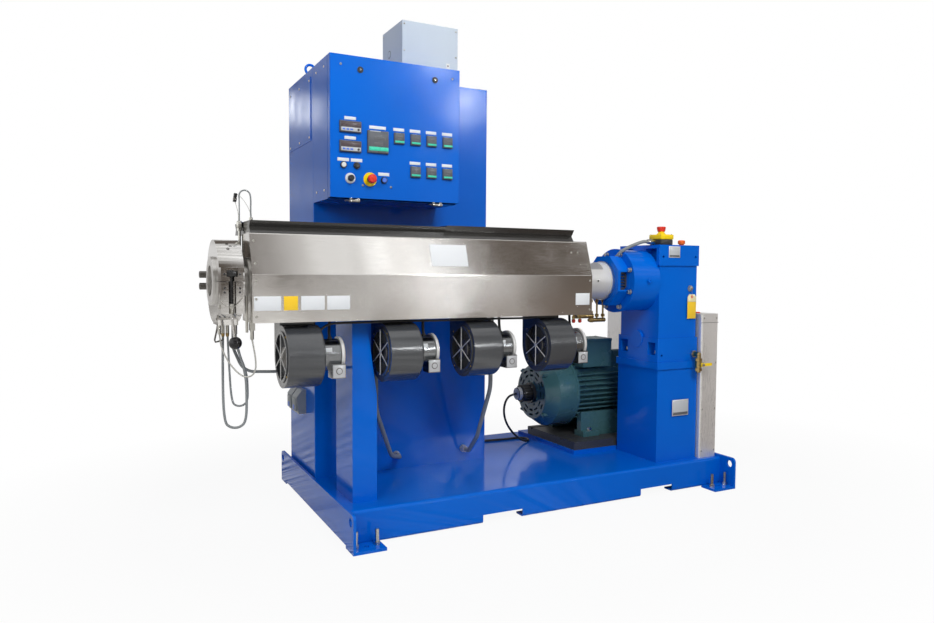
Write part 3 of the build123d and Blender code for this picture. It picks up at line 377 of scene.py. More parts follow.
@dataclass(frozen=True)
class Plastic(Finish):
    """Moulded plastic, rubber or printed film."""

    bloom: float = 0.05
    texture: float = 900.0
    glow: float = 0.0

    def group_inputs(self) -> dict:
        """Bloom and texture of the moulding."""
        return {"Bloom": self.bloom, "Texture": self.texture}

    def shader(self, node: bpy.types.Node) -> None:
        """A lit display glows a little."""
        if self.glow > 0:
            node.inputs["Emission Color"].default_value = (*self.colour, 1)
            node.inputs["Emission Strength"].default_value = self.glow


BLUE = Paint("blue_enamel", (0.0006, 0.132, 0.64), "blue_enamel", 0.15, 0.035, 0.0004,
             shade=(0.0005, 0.118, 0.59), peel=170.0, dust=0.002, coat=0.09, specular=0.12)
DARK_GREY = Paint("blower_grey", (0.048, 0.051, 0.056), "dark_grey_paint", 0.20, 0.03,
                  shade=(0.040, 0.043, 0.048), peel=260.0, dust=0.03, specular=0.95)
MOTOR_GREEN = Paint("motor_green", (0.066, 0.158, 0.172), "motor_green", 0.26, 0.08, 0.0008,
                    shade=(0.036, 0.108, 0.118), peel=120.0, dust=0.05, specular=0.5)
BOX_GREY = Paint("resistor_grey", (0.54, 0.61, 0.68), "grey_paint", 0.42, 0.05,
                 shade=(0.50, 0.565, 0.635), peel=300.0, dust=0.02)
CAP_BLACK = Paint("vent_cap_black", (0.020, 0.019, 0.018), "dark_cap", 0.16, 0.03,
                  shade=(0.030, 0.028, 0.025), peel=200.0, dust=0.03, specular=0.95)
RAIL_BLACK = Paint("slide_rail_black", (0.03, 0.032, 0.034), "black_plastic", 0.5, 0.12,
                   shade=(0.045, 0.046, 0.047), peel=140.0, dust=0.10)
# Each metal's shade and banding strength give colour banding along X: partly random tonal change, partly
# painted reflection.
STAINLESS = Metal("brushed_stainless", (0.78, 0.765, 0.74), "stainless", 0.09, 0.02, 0.0002,
                  shade=(0.66, 0.63, 0.595), grain=Grain.ALONG_X, tonal_and_reflection_banding=0.5, stretch=0.9)
GUARD_STEEL = Metal("guard_stainless", (0.93, 0.905, 0.88), "stainless", 0.28, 0.05, 0.0002,
                    shade=(0.58, 0.56, 0.53), grain=Grain.UPRIGHT, tonal_and_reflection_banding=0.5, metallic=0.55)
POLISHED = Metal("polished_clamp_steel", (0.78, 0.77, 0.755), "machined_steel", 0.06, 0.02, 0.0002,
                 shade=(0.34, 0.32, 0.29), grain=Grain.ALONG_X, tonal_and_reflection_banding=0.5)
MACHINED = Metal("machined_steel", (0.80, 0.79, 0.77), "machined_steel", 0.30, 0.10, 0.0003,
                 shade=(0.62, 0.61, 0.59), grain=Grain.TURNED, tonal_and_reflection_banding=0.3)
SATIN = Metal("satin_throat", (0.74, 0.735, 0.72), "machined_steel", 0.36, 0.08, 0.0003,
              shade=(0.60, 0.595, 0.58), grain=Grain.TURNED, tonal_and_reflection_banding=0.3, metallic=0.35)
ZINC = Metal("zinc_plate", (0.66, 0.65, 0.60), "zinc_steel", 0.26, 0.05, 0.0003,
             shade=(0.42, 0.40, 0.36), grain=Grain.TURNED, tonal_and_reflection_banding=0.3)
DARK_STEEL = Metal("oiled_steel", (0.20, 0.19, 0.175), "zinc_steel", 0.34, 0.10, 0.0003,
                   shade=(0.10, 0.095, 0.09), grain=Grain.TURNED, tonal_and_reflection_banding=0.3)
DARK_ZINC = Metal("dull_zinc", (0.60, 0.61, 0.63), "zinc_steel", 0.32, 0.06, 0.0003,
                  shade=(0.50, 0.505, 0.52), grain=Grain.TURNED, tonal_and_reflection_banding=0.3, metallic=0.45)
MOTOR_STEEL = Metal("blower_motor_steel", (0.30, 0.31, 0.32), "dark_grey_paint", 0.20, 0.05, 0.0003,
                    shade=(0.20, 0.205, 0.21), grain=Grain.ALONG_X, tonal_and_reflection_banding=0.4)
JACKET = Metal("cast_jacket", (0.46, 0.45, 0.44), "heater_jacket", 0.45, 0.2, 0.0008,
               shade=(0.30, 0.29, 0.28), grain=Grain.TURNED, tonal_and_reflection_banding=0.4)
BRASS = Metal("drawn_brass", (0.50, 0.36, 0.15), "brass", 0.26, 0.08, 0.0003,
              shade=(0.26, 0.18, 0.07), grain=Grain.TURNED, tonal_and_reflection_banding=0.6)
BLACK = Plastic("black_moulding", (0.016, 0.016, 0.018), "black_plastic", 0.38, 0.08)
OXIDE = Plastic("black_oxide", (0.010, 0.010, 0.011), "black_plastic", 0.24, 0.03)
KNOB = Plastic("ball_knob", (0.006, 0.006, 0.007), "black_plastic", 0.10, 0.0, bloom=0.0)
INSTRUMENT = Plastic("instrument_case", (0.10, 0.105, 0.115), "instrument_plastic", 0.42, 0.06)
SCREEN = Plastic("dark_screen", (0.115, 0.125, 0.14), "instrument_plastic", 0.2, 0.0, bloom=0.0)
METER_FACE = Plastic("meter_face", (0.085, 0.066, 0.072), "instrument_plastic", 0.22, 0.0, bloom=0.0)
MINT = Plastic("mint_display", (0.05, 0.56, 0.37), "instrument_plastic", 0.3, 0.0, bloom=0.0, glow=0.12)
PALE_STRIP = Plastic("pale_strip", (0.50, 0.52, 0.54), "instrument_plastic", 0.35, 0.0, bloom=0.02)
BLUE_KEY = Plastic("blue_key", (0.07, 0.18, 0.70), "instrument_plastic", 0.35, 0.02)
LABEL = Plastic("blank_label", (0.74, 0.76, 0.78), "instrument_plastic", 0.5, 0.0, bloom=0.0)
TAG = Plastic("tag_yellow", (0.90, 0.58, 0.03), "yellow_plastic", 0.45, 0.0, bloom=0.0)
CREAM = Plastic("tag_cream", (0.82, 0.74, 0.45), "yellow_plastic", 0.5, 0.0, bloom=0.0)
# Near-black for painted shade: the shaded inside of the blower inlets and the throat's hole.
PAINTED_SHADE_BLACK = Plastic("painted_shade_black", (0.012, 0.012, 0.014), "black_plastic", 0.3, 0.0, bloom=0.0)
WHITE_PLASTIC = Plastic("white_button", (0.72, 0.73, 0.72), "instrument_plastic", 0.3, 0.02)
RED = Plastic("stop_red", (0.72, 0.035, 0.018), "stop_red", 0.25, 0.03, bloom=0.01)
YELLOW = Plastic("safety_yellow", (0.95, 0.66, 0.0), "yellow_plastic", 0.32, 0.04, bloom=0.02)
ORANGE = Plastic("breather_orange", (0.90, 0.14, 0.012), "orange_plastic", 0.32, 0.03, bloom=0.02)
CABLE_GREY = Plastic("cable_grey", (0.22, 0.235, 0.24), "cable_rubber", 0.42, 0.12)
CABLE_BLACK = Plastic("cable_black", (0.02, 0.02, 0.022), "cable_rubber", 0.45, 0.12)
CABLE_PALE = Plastic("cable_pale", (0.50, 0.49, 0.45), "cable_rubber", 0.4, 0.05)
BOX_GREEN = Plastic("terminal_green", (0.02, 0.16, 0.06), "instrument_plastic", 0.4, 0.04)
SOCKET_GREY = Plastic("socket_grey", (0.23, 0.25, 0.27), "grey_paint", 0.4, 0.08)


# Shapes

CLOSED_END = 1e-5
EDGE_STEPS = 2
SHARP_EDGE = math.radians(35)
SOFT_EDGE = math.radians(40)


def axis_matrix(centre: Sequence[float], direction: Sequence[float]) -> Matrix:
    """A frame whose Z lies along a direction.

    Args:
        centre: The frame's origin.
        direction: Where its Z points.
    Returns:
        The frame as a 4 by 4 matrix.
    """
    turn = Vector(direction).to_track_quat("Z", "Y").to_matrix().to_4x4()
    return Matrix.Translation(Vector(centre)) @ turn


class Shape:
    """A mesh that grows piece by piece and becomes one object of the scene."""

    def __init__(self) -> None:
        """Start with nothing."""
        self.mesh = bmesh.new()
        self.finishes: list[Finish] = []

    def index(self, finish: Finish) -> int:
        """The material index of a finish, added at first use."""
        if finish not in self.finishes:
            self.finishes.append(finish)
        return self.finishes.index(finish)

    def take(self, verts: Iterable, finish: Finish) -> None:
        """Give the faces of new vertices a finish."""
        slot = self.index(finish)
        for face in {face for vert in verts for face in vert.link_faces}:
            face.material_index = slot
            face.smooth = True

    def circle(self, place: Matrix, radius: float, height: float, sides: int) -> list:
        """A row of new vertices round a frame's Z axis."""
        turns = [2 * math.pi * step / sides for step in range(sides)]
        spots = [Vector((radius * math.cos(turn), radius * math.sin(turn), height)) for turn in turns]
        return [self.mesh.verts.new(place @ spot) for spot in spots]

    def faces_from(self, rings: list[list], finish: Finish, caps: bool = True) -> None:
        """Skin rows of vertices that go all the way round.

        Args:
            rings: Rows with the same number of vertices.
            finish: The finish of the skin.
            caps: Whether the first and last rows are filled.
        """
        slot = self.index(finish)
        count = len(rings[0])
        made = []
        for first, second in zip(rings, rings[1:]):
            for step in range(count):
                after = (step + 1) % count
                made.append(self.mesh.faces.new((first[step], first[after], second[after], second[step])))
        if caps:
            made.append(self.mesh.faces.new(list(reversed(rings[0]))))
            made.append(self.mesh.faces.new(rings[-1]))
        for face in made:
            face.material_index = slot
            face.smooth = True

    def box(self, low: Point, high: Point, finish: Finish, bevel: float = 0.0) -> None:
        """A block between two corners, with rounded edges.

        Args:
            low: Its lowest corner.
            high: Its highest corner.
            finish: Its finish.
            bevel: The width of its rounded edges.
        """
        size = [b - a for a, b in zip(low, high)]
        middle = [(a + b) / 2 for a, b in zip(low, high)]
        place = Matrix.Translation(middle) @ Matrix.Diagonal((*size, 1))
        verts = bmesh.ops.create_cube(self.mesh, size=1.0, matrix=place)["verts"]
        self.round(verts, bevel, finish)

    def round(self, verts: list, bevel: float, finish: Finish) -> None:
        """Round the edges between new vertices and give them a finish."""
        if bevel > 0:
            edges = list(dict.fromkeys(edge for vert in verts for edge in vert.link_edges))
            made = bmesh.ops.bevel(self.mesh, geom=edges, offset=bevel, segments=EDGE_STEPS, affect="EDGES",
                                   profile=0.5)
            verts = list({vert for face in made["faces"] for vert in face.verts}) + [
                vert for vert in verts if vert.is_valid]
        self.take(verts, finish)

    def revolve(self, centre: Point, direction: Point, profile: Profile, finish: Finish,
                sides: int = 32) -> None:
        """A turned piece.

        Args:
            centre: Where its axis starts.
            direction: Where its axis points.
            profile: Height along the axis and radius of each step; a radius of 0 closes an end.
            finish: Its finish.
            sides: The number of flats round it.
        """
        place = axis_matrix(centre, direction)
        rings = [self.circle(place, max(radius, CLOSED_END), height, sides) for height, radius in profile]
        self.faces_from(rings, finish)

    def rod(self, start: Point, end: Point, radius: float, finish: Finish, chamfer: float = 0.0,
            sides: int = 24) -> None:
        """A round bar between two points, with chamfered ends."""
        way = Vector(end) - Vector(start)
        length = way.length
        if chamfer > 0:
            profile = [(0, radius - chamfer), (chamfer, radius), (length - chamfer, radius),
                       (length, radius - chamfer)]
        else:
            profile = [(0, radius), (length, radius)]
        self.revolve(start, way, profile, finish, sides)

    def ring(self, centre: Point, direction: Point, outer: float, inner: float, height: float, finish: Finish,
             sides: int = 40) -> None:
        """A flat ring that stands on a face."""
        place = axis_matrix(centre, direction)
        lip = min(height, outer - inner) * 0.2
        profile = [(0, inner), (0, outer), (height - lip, outer), (height, outer - lip), (height, inner)]
        rings = [self.circle(place, radius, rise, sides) for rise, radius in profile + profile[:1]]
        self.faces_from(rings, finish, caps=False)

    def nut(self, centre: Point, direction: Point, radius: float, height: float, finish: Finish) -> None:
        """A plain hexagon nut, its radius to the corners."""
        self.revolve(centre, direction, [(0, radius), (height, radius), (height, 0)], finish, 6)

    def hex_head(self, centre: Point, direction: Point, across: float, height: float, finish: Finish,
                 washer: float = 0.0) -> None:
        """A hexagon head on a washer.

        Args:
            centre: The middle of its seat.
            direction: Where it points.
            across: Its width across flats.
            height: Its height over the washer.
            finish: Its finish.
            washer: The washer's outer radius, or 0 for none.
        """
        lift = 0.0
        if washer > 0:
            lift = height * 0.22
            self.revolve(centre, direction, [(0, washer), (lift * 0.8, washer), (lift, washer * 0.95)],
                         finish, 24)
        corner = across / math.sqrt(3)
        flat = across / 2 * 0.94
        self.revolve(Vector(centre) + Vector(direction).normalized() * lift, direction,
                     [(0, corner), (height * 0.85, corner), (height, flat)], finish, 6)

    def cap_screw(self, centre: Point, direction: Point, radius: float, height: float,
                  finish: Finish) -> None:
        """A socket head screw with its hexagon recess."""
        self.revolve(centre, direction, [
            (0, radius), (height * 0.85, radius), (height, radius * 0.9), (height, radius * 0.52),
            (height * 0.45, radius * 0.5), (height * 0.42, 0)], finish, 18)

    def pan_screw(self, centre: Point, direction: Point, radius: float, finish: Finish) -> None:
        """A pan head screw with a shallow recess."""
        self.revolve(centre, direction, [(0, radius), (radius * 0.32, radius * 0.98),
                                         (radius * 0.56, radius * 0.72), (radius * 0.62, radius * 0.34),
                                         (radius * 0.34, radius * 0.24), (radius * 0.32, 0)], finish, 16)

    def ball(self, centre: Point, radius: float, finish: Finish) -> None:
        """A ball."""
        place = Matrix.Translation(centre)
        verts = bmesh.ops.create_uvsphere(self.mesh, u_segments=24, v_segments=14, radius=radius,
                                          matrix=place)["verts"]
        self.take(verts, finish)

    def plate(self, outline: Sequence[Point], push: Point, finish: Finish, bevel: float = 0.0) -> None:
        """A flat outline pushed into a plate.

        Args:
            outline: Its corners in one plane.
            push: How far and where it is pushed.
            finish: Its finish.
            bevel: The width of its rounded edges.
        """
        bottom = [self.mesh.verts.new(Vector(spot)) for spot in outline]
        top = [self.mesh.verts.new(Vector(spot) + Vector(push)) for spot in outline]
        count = len(bottom)
        faces = [self.mesh.faces.new(bottom), self.mesh.faces.new(list(reversed(top)))]
        for step in range(count):
            after = (step + 1) % count
            faces.append(self.mesh.faces.new((bottom[after], bottom[step], top[step], top[after])))
        bmesh.ops.recalc_face_normals(self.mesh, faces=faces)
        self.round(bottom + top, bevel, finish)

    def tube(self, points: Sequence[Point], radius: float, finish: Finish, sides: int = 10) -> None:
        """A round wire or hose along points.

        Args:
            points: Its centreline.
            radius: Half its thickness.
            finish: Its finish.
            sides: The number of flats round it.
        """
        spots = [Vector(point) for point in points]
        count = len(spots)
        rings, side = [], None
        for step, spot in enumerate(spots):
            way = (spots[min(step + 1, count - 1)] - spots[max(step - 1, 0)]).normalized()
            if side is None:
                side = way.orthogonal().normalized()
            side = (side - way * side.dot(way)).normalized()
            other = way.cross(side)
            frame_here = Matrix((side, other, way)).transposed().to_4x4()
            rings.append(self.circle(Matrix.Translation(spot) @ frame_here, radius, 0.0, sides))
        self.faces_from(rings, finish)

    def build(self, name: str, body: Body, slot: str, replaces: Sequence[str] = ()) -> bpy.types.Object:
        """Make the object and tie it to its body.

        Args:
            name: The object's name.
            body: The body that it moves with.
            slot: A material slot name; not used.
            replaces: The CAD nodes that it stands for.
        Returns:
            The object.
        """
        bmesh.ops.recalc_face_normals(self.mesh, faces=self.mesh.faces)
        data = bpy.data.meshes.new(name)
        self.mesh.to_mesh(data)
        self.mesh.free()
        for finish in self.finishes:
            data.materials.append(finish.material())
        data.set_sharp_from_angle(angle=SHARP_EDGE)
        made = bpy.data.objects.new(name, data)
        bpy.context.scene.collection.objects.link(made)
        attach(made, body.value)
        if replaces:
            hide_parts(*replaces)
        log.info("%s: %d faces", name, len(data.polygons))
        return made


def smooth_line(points: Sequence[Point], steps: int = 8) -> list[Point]:
    """A rounded line through points.

    Args:
        points: The points that it passes.
        steps: How many pieces lie between two points.
    Returns:
        Points close together.
    """
    spots = [Vector(point) for point in points]
    spots = [2 * spots[0] - spots[1], *spots, 2 * spots[-1] - spots[-2]]
    line = []
    for start, first, second, end in zip(spots, spots[1:], spots[2:], spots[3:]):
        for step in range(steps):
            t = step / steps
            square = 2 * start - 5 * first + 4 * second - end
            cube = 3 * first - start - 3 * second + end
            line.append(tuple(0.5 * (2 * first + (second - start) * t + square * t ** 2 + cube * t ** 3)))
    line.append(tuple(spots[-2]))
    return line


def dress(node: str, finish: Finish, bevel: float) -> bpy.types.Object:
    """Give a CAD node its finish and soft edges.

    Args:
        node: The node's name.
        finish: Its finish.
        bevel: The width of its rounded edges, or 0.
    Returns:
        The node's object.
    """
    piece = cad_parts[node]
    piece.data.materials.clear()
    piece.data.materials.append(finish.material())
    if bevel > 0:
        rounding = piece.modifiers.new("Soft edges", "BEVEL")
        rounding.width = bevel
        rounding.segments = EDGE_STEPS
        rounding.limit_method = "ANGLE"
        rounding.angle_limit = SOFT_EDGE
        rounding.harden_normals = True
    return piece


def mm(x: float, y: float, z: float) -> Point:
    """A point given in millimetres."""
    return (x / 1000, y / 1000, z / 1000)


def box_mm(node: str) -> tuple[Vector, Vector]:
    """A CAD node's lowest and highest corners in millimetres."""
    low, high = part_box(node)
    return low * 1000, high * 1000


def around(centre: Point, radius: float, count: int, start: float = 0.5) -> Iterator[Point]:
    """Points evenly round a circle that faces along X.

    Args:
        centre: The circle's middle, in millimetres.
        radius: Its radius, in millimetres.
        count: How many points it has.
        start: Where the first lies, as a share of the pitch from +Y.
    Yields:
        Each point, in metres.
    """
    x, y, z = centre
    for step in range(count):
        turn = 2 * math.pi * (step + start) / count
        yield mm(x, y + radius * math.cos(turn), z + radius * math.sin(turn))


FRONT: Point = (0, -1, 0)
BACK: Point = (0, 1, 0)
LEFT: Point = (-1, 0, 0)
RIGHT: Point = (1, 0, 0)
UP: Point = (0, 0, 1)
DOWN: Point = (0, 0, -1)


# The operator's door

# Turned profiles: height along the axis and radius of each step, in metres
METER_KNOB: Profile = ((0, 0.0048), (0.004, 0.0044), (0.005, 0.0034), (0.005, 0))
BUTTON_COLLAR: Profile = ((0, 0.0145), (0.006, 0.0145), (0.010, 0.0130), (0.010, 0.0112), (0.008, 0.0110),
                          (0.008, 0))
BUTTON_LENS: Profile = ((0, 0.0106), (0.003, 0.0106), (0.0048, 0.009), (0.0055, 0))
DIAL_PLATE: Profile = ((0, 0.0225), (0.004, 0.0225), (0.0065, 0.0205), (0.007, 0.014), (0.007, 0))
DIAL_KNOB: Profile = ((0, 0.0135), (0.010, 0.0130), (0.018, 0.0120), (0.020, 0.0105), (0.020, 0))
LATCH_CUP: Profile = ((0, 0.0135), (0.003, 0.0135), (0.0045, 0.012), (0.0045, 0.0095), (0.003, 0.0090),
                      (0.003, 0))
LATCH_KEY: Profile = ((0, 0.0062), (0.005, 0.0060), (0.0055, 0))
STOP_PLATE: Profile = ((0, 0.030), (0.003, 0.030), (0.0042, 0.029), (0.0042, 0))
STOP_NECK: Profile = ((0, 0.0145), (0.010, 0.0145), (0.020, 0.0120), (0.024, 0.0120))
STOP_HEAD: Profile = ((0, 0.0125), (0.001, 0.0190), (0.005, 0.0200), (0.011, 0.0196), (0.016, 0.0165),
                      (0.0185, 0.010), (0.0195, 0))


@dataclass
class ControlDoor:
    """Instruments, buttons, labels and latches on the drop-down door. Sizes are in millimetres."""

    face: float = -232.0
    bezel: float = 13.0
    meters: tuple = ((-960.0, 1744.0), (-960.0, 1661.0))
    main_controller: tuple = (-836.0, 1713.0)
    zone_columns: tuple = (-713.0, -635.0, -557.0, -477.5)
    zone_tops: tuple = (1713.0, 1572.0)
    screws: tuple = ((-952.0, 1980.0), (-428.0, 1979.0), (-855.0, 1476.0), (-726.0, 1475.0))
    latches: tuple = ((-866.0, 1965.0), (-515.0, 1964.0))
    buttons: tuple = ((-942.0, 1558.0, WHITE_PLASTIC), (-883.0, 1558.0, BLACK), (-759.0, 1503.0, BLUE_KEY))
    button_labels: tuple = ((-968.0, 1574.0), (-909.0, 1574.0), (-785.0, 1522.0))
    dial: tuple = (-912.0, 1503.0)
    stop: tuple = (-823.0, 1503.0)
    meter_size: tuple = (96.0, 48.0)
    main_side: float = 96.0
    zone_side: float = 48.0
    label_width: float = 51.0

    def label(self, shape: Shape, x: float, z: float, wide: float) -> None:
        """A blank engraved strip, its lower left corner at x, z."""
        shape.box(mm(x, self.face - 1.4, z), mm(x + wide, self.face, z + 13.5), LABEL, 0.0006)

    def case(self, shape: Shape, x: float, z: float, wide: float, tall: float) -> float:
        """An instrument's case, its upper left corner at x, z.

        Returns:
            The height of its front face.
        """
        front = self.face - self.bezel
        shape.box(mm(x, front + 3, z - tall), mm(x + wide, self.face, z), INSTRUMENT, 0.0012)
        shape.box(mm(x + 1.5, front, z - tall + 1.5), mm(x + wide - 1.5, front + 4, z - 1.5), INSTRUMENT,
                  0.0014)
        return front

    def controller(self, shape: Shape, x: float, z: float, side: float) -> None:
        """A square temperature controller with a mint status bar."""
        front = self.case(shape, x, z, side, side)
        edge = side * 0.06
        bar = side * 0.17
        foot = side * 0.10
        shape.box(mm(x + edge, front - 0.7, z - side + foot + bar + 1),
                  mm(x + side - edge, front + 1, z - edge), SCREEN, 0.0005)
        shape.box(mm(x + edge, front - 1.0, z - side + foot),
                  mm(x + side - 2, front + 1, z - side + foot + bar), MINT, 0.0005)
        keys = 4
        pitch = (side - 2 * edge) / keys
        for key in range(keys):
            start = x + edge + key * pitch + pitch * 0.2
            shape.box(mm(start, front - 1.5, z - side + foot + bar * 0.3),
                      mm(start + pitch * 0.6, front, z - side + foot + bar * 0.7), MINT, 0.0003)
        shape.cap_screw(mm(x + side / 2, front, z - side + foot * 0.55), FRONT, side * 0.00003, 0.0008, BLACK)
        shape.box(mm(x + side * 0.1, front - 1.0, z - edge * 0.9), mm(x + side * 0.6, front + 1, z - 1.8),
                  PALE_STRIP, 0.0002)
        for row, share in ((0.28, 0.55), (0.52, 0.42)):
            shape.box(mm(x + side * 0.3, front - 1.0, z - side * (row + 0.15)),
                      mm(x + side * (0.3 + share), front, z - side * row), INSTRUMENT, 0.0003)

    def meter(self, shape: Shape, x: float, z: float) -> None:
        """A wide meter with a key strip and a small knob."""
        wide, tall = self.meter_size
        front = self.case(shape, x, z, wide, tall)
        shape.box(mm(x + 4, front - 0.6, z - tall + 22), mm(x + wide - 4, front + 1, z - 4), METER_FACE,
                  0.0004)
        shape.box(mm(x + 5, front - 1.2, z - tall + 4), mm(x + wide - 4, front + 1, z - tall + 20),
                  PALE_STRIP, 0.0005)
        for key in range(3):
            start = x + 11 + key * 17
            shape.box(mm(start, front - 2.4, z - tall + 8), mm(start + 12, front, z - tall + 15), BLUE_KEY,
                      0.0006)
        shape.revolve(mm(x + wide - 15, front - 1, z - tall + 12), FRONT, METER_KNOB, BLACK, 20)

    def instruments(self) -> None:
        """All meters, controllers and label strips."""
        shape = Shape()
        for x, z in self.meters:
            self.meter(shape, x, z)
            self.label(shape, x + 23, z + 6, self.label_width)
        x, z = self.main_controller
        self.controller(shape, x, z, self.main_side)
        self.label(shape, x + 10, z + 8, 76)
        for row, top in enumerate(self.zone_tops):
            for column in self.zone_columns[row:]:
                self.controller(shape, column, top, self.zone_side)
                self.label(shape, column - 2, top + 8, self.label_width)
        for x, z in self.button_labels:
            self.label(shape, x, z, self.label_width)
        shape.build("door_instruments", Body.DOOR, "instrument_plastic",
                    ["digital_meters", "temperature_controllers"])

    def button(self, shape: Shape, x: float, z: float, lens: Finish) -> None:
        """A push button with a black collar."""
        centre = mm(x, self.face, z)
        shape.revolve(centre, FRONT, BUTTON_COLLAR, BLACK, 28)
        shape.revolve(mm(x, self.face - 7, z), FRONT, BUTTON_LENS, lens, 28)

    def controls(self) -> None:
        """Buttons, selector, latches and the emergency stop."""
        shape = Shape()
        for x, z, lens in self.buttons:
            self.button(shape, x, z, lens)
        x, z = self.dial
        shape.revolve(mm(x, self.face, z), FRONT, DIAL_PLATE, WHITE_PLASTIC, 40)
        shape.revolve(mm(x, self.face - 6, z), FRONT, DIAL_KNOB, BLACK, 28)
        shape.box(mm(x - 2.2, self.face - 30, z - 12), mm(x + 2.2, self.face - 24, z + 12), BLACK, 0.001)
        for x, z in self.latches:
            shape.revolve(mm(x, self.face, z), FRONT, LATCH_CUP, BLACK, 28)
            shape.revolve(mm(x, self.face - 3, z), FRONT, LATCH_KEY, ZINC, 3)
        shape.build("door_controls_detail", Body.DOOR, "black_plastic", ["door_controls"])
        stop = Shape()
        x, z = self.stop
        stop.revolve(mm(x, self.face, z), FRONT, STOP_PLATE, YELLOW, 48)
        stop.revolve(mm(x, self.face - 4, z), FRONT, STOP_NECK, BLACK, 32)
        stop.revolve(mm(x, self.face - 24, z), FRONT, STOP_HEAD, RED, 40)
        stop.build("door_stop_detail", Body.DOOR, "stop_red", ["door_stop_button"])
        trim = Shape()
        for x, z in self.screws:
            trim.pan_screw(mm(x, self.face, z), FRONT, 0.0052, ZINC)
        trim.build("door_screws", Body.DOOR, "zinc_steel")

    def build(self) -> None:
        """Dress the door."""
        self.instruments()
        self.controls()


# Air-cooling blowers

INLET_SHADE_DISC: Profile = ((0, 0.088), (0.001, 0.088), (0.001, 0))
WHEEL_HUB: Profile = ((0, 0.040), (0.004, 0.038), (0.006, 0.012), (0.006, 0))
SPOKE_BOSS: Profile = ((0, 0.009), (0.003, 0.008), (0.0032, 0))
MOTOR_END: Profile = ((0, 0.058), (0.004, 0.057), (0.007, 0.045), (0.009, 0.016), (0.012, 0.014), (0.012, 0))
KNOCKOUT_EDGE: Profile = ((0, 0.0135), (0.001, 0.0132), (0.001, 0))
KNOCKOUT_DISC: Profile = ((0, 0.0105), (0.001, 0.0102), (0.001, 0))


@dataclass
class Blowers:
    """Inlet guards, screws, motor rings and junction boxes of the four blowers. Sizes are in millimetres."""

    lefts: tuple = (-1254.0, -843.0, -468.0, -84.0)
    width: float = 144.0
    centre_y: float = -422.0
    centre_z: float = 771.0
    motor: float = 64.5
    motor_length: float = 92.0

    def axis(self, x: float) -> Point:
        """A point on a blower's axis, in millimetres."""
        return (x, self.centre_y, self.centre_z)

    def guard(self, shape: Shape, left: float) -> None:
        """A guard over one inlet: crossed spokes before the fan wheel's vanes, and a near-black disc of
        painted shade behind them.
        """
        centre = mm(*self.axis(left))
        shape.ring(centre, LEFT, 0.1020, 0.0890, 0.004, DARK_GREY, 56)
        # A near-black disc behind the vanes: painted shade for the inside of the inlet.
        shape.revolve(mm(*self.axis(left + 12)), LEFT, INLET_SHADE_DISC, PAINTED_SHADE_BLACK, 48)
        vanes = 36
        for step in range(vanes):
            turn = 2 * math.pi * step / vanes
            way = Vector((0, math.cos(turn), math.sin(turn)))
            start = Vector(mm(*self.axis(left + 10)))
            shape.rod(start + way * 0.040, start + way * 0.086, 0.0016, DARK_GREY, sides=6)
        shape.revolve(mm(*self.axis(left + 11)), LEFT, WHEEL_HUB, DARK_STEEL, 36)
        for step in range(3):
            turn = math.pi * (step / 3 + 0.5)
            reach = Vector((0, math.cos(turn), math.sin(turn))) * 0.094
            middle = Vector(centre) - Vector((0.0035, 0, 0))
            shape.rod(middle - reach, middle + reach, 0.0022, SATIN, sides=10)
        shape.revolve(mm(*self.axis(left - 2)), LEFT, SPOKE_BOSS, POLISHED, 24)
        for place in around(self.axis(left), 107, 4, 0.44):
            shape.pan_screw(place, LEFT, 0.0042, BRASS)

    def trim(self, shape: Shape, left: float) -> None:
        """Screws, end ring, nut and junction box of one blower."""
        right = left + self.width
        for place in around(self.axis(right), 84, 4):
            shape.hex_head(place, RIGHT, 0.010, 0.006, ZINC, 0.0075)
        end = right + self.motor_length
        shape.ring(mm(*self.axis(end - 14)), RIGHT, self.motor / 1000 + 0.0075, self.motor / 1000 - 0.004,
                   0.013, SATIN, 48)
        shape.revolve(mm(*self.axis(end - 1)), RIGHT, MOTOR_END, MACHINED, 40)
        for place in around(self.axis(end + 3), 47, 4):
            shape.hex_head(place, RIGHT, 0.007, 0.005, ZINC)
        box_x = right + 36
        shape.box(mm(box_x + 2, self.centre_y - 81, self.centre_z - 84),
                  mm(box_x + 52, self.centre_y - 74, self.centre_z - 34), DARK_ZINC, 0.002)
        shape.revolve(mm(box_x + 27, self.centre_y - 81, self.centre_z - 58), FRONT, KNOCKOUT_EDGE,
                      DARK_STEEL, 24)
        shape.revolve(mm(box_x + 27, self.centre_y - 82, self.centre_z - 58), FRONT, KNOCKOUT_DISC,
                      DARK_ZINC, 24)
        shape.box(mm(right + 8, self.centre_y - 62, self.centre_z + 8),
                  mm(right + 40, self.centre_y - 50, self.centre_z + 34), LABEL, 0.0005)

    def build(self) -> None:
        """Dress the four blowers."""
        guards, trims = Shape(), Shape()
        for left in self.lefts:
            self.guard(guards, left)
            self.trim(trims, left)
        guards.build("blower_guard_wires", Body.SKID, "dark_grey_paint", ["blower_inlet_guards"])
        trims.build("blower_trim", Body.SKID, "zinc_steel")


# Gearbox and thrust housing

HOUSING_PLUG: Profile = ((0, 0.0115), (0.004, 0.0115), (0.006, 0.009), (0.006, 0.005), (0.003, 0.0048),
                         (0.003, 0))
THROAT_HOLE: Profile = ((0, 0.0046), (0.0012, 0.0042), (0.0012, 0))
STATION_NECK: Profile = ((0, 0.024), (0.003, 0.022), (0.009, 0.0165), (0.017, 0.0150))
GLAND_NUT: Profile = ((0, 0.0125), (0.014, 0.0115), (0.016, 0.0085), (0.016, 0))
BREATHER: Profile = ((0, 0.013), (0.008, 0.013), (0.008, 0.0185), (0.022, 0.0190), (0.027, 0.015), (0.028, 0))
SIGHT_PLUG: Profile = ((0, 0.017), (0.004, 0.017), (0.004, 0.013), (0.012, 0.0125), (0.014, 0.009),
                       (0.014, 0))


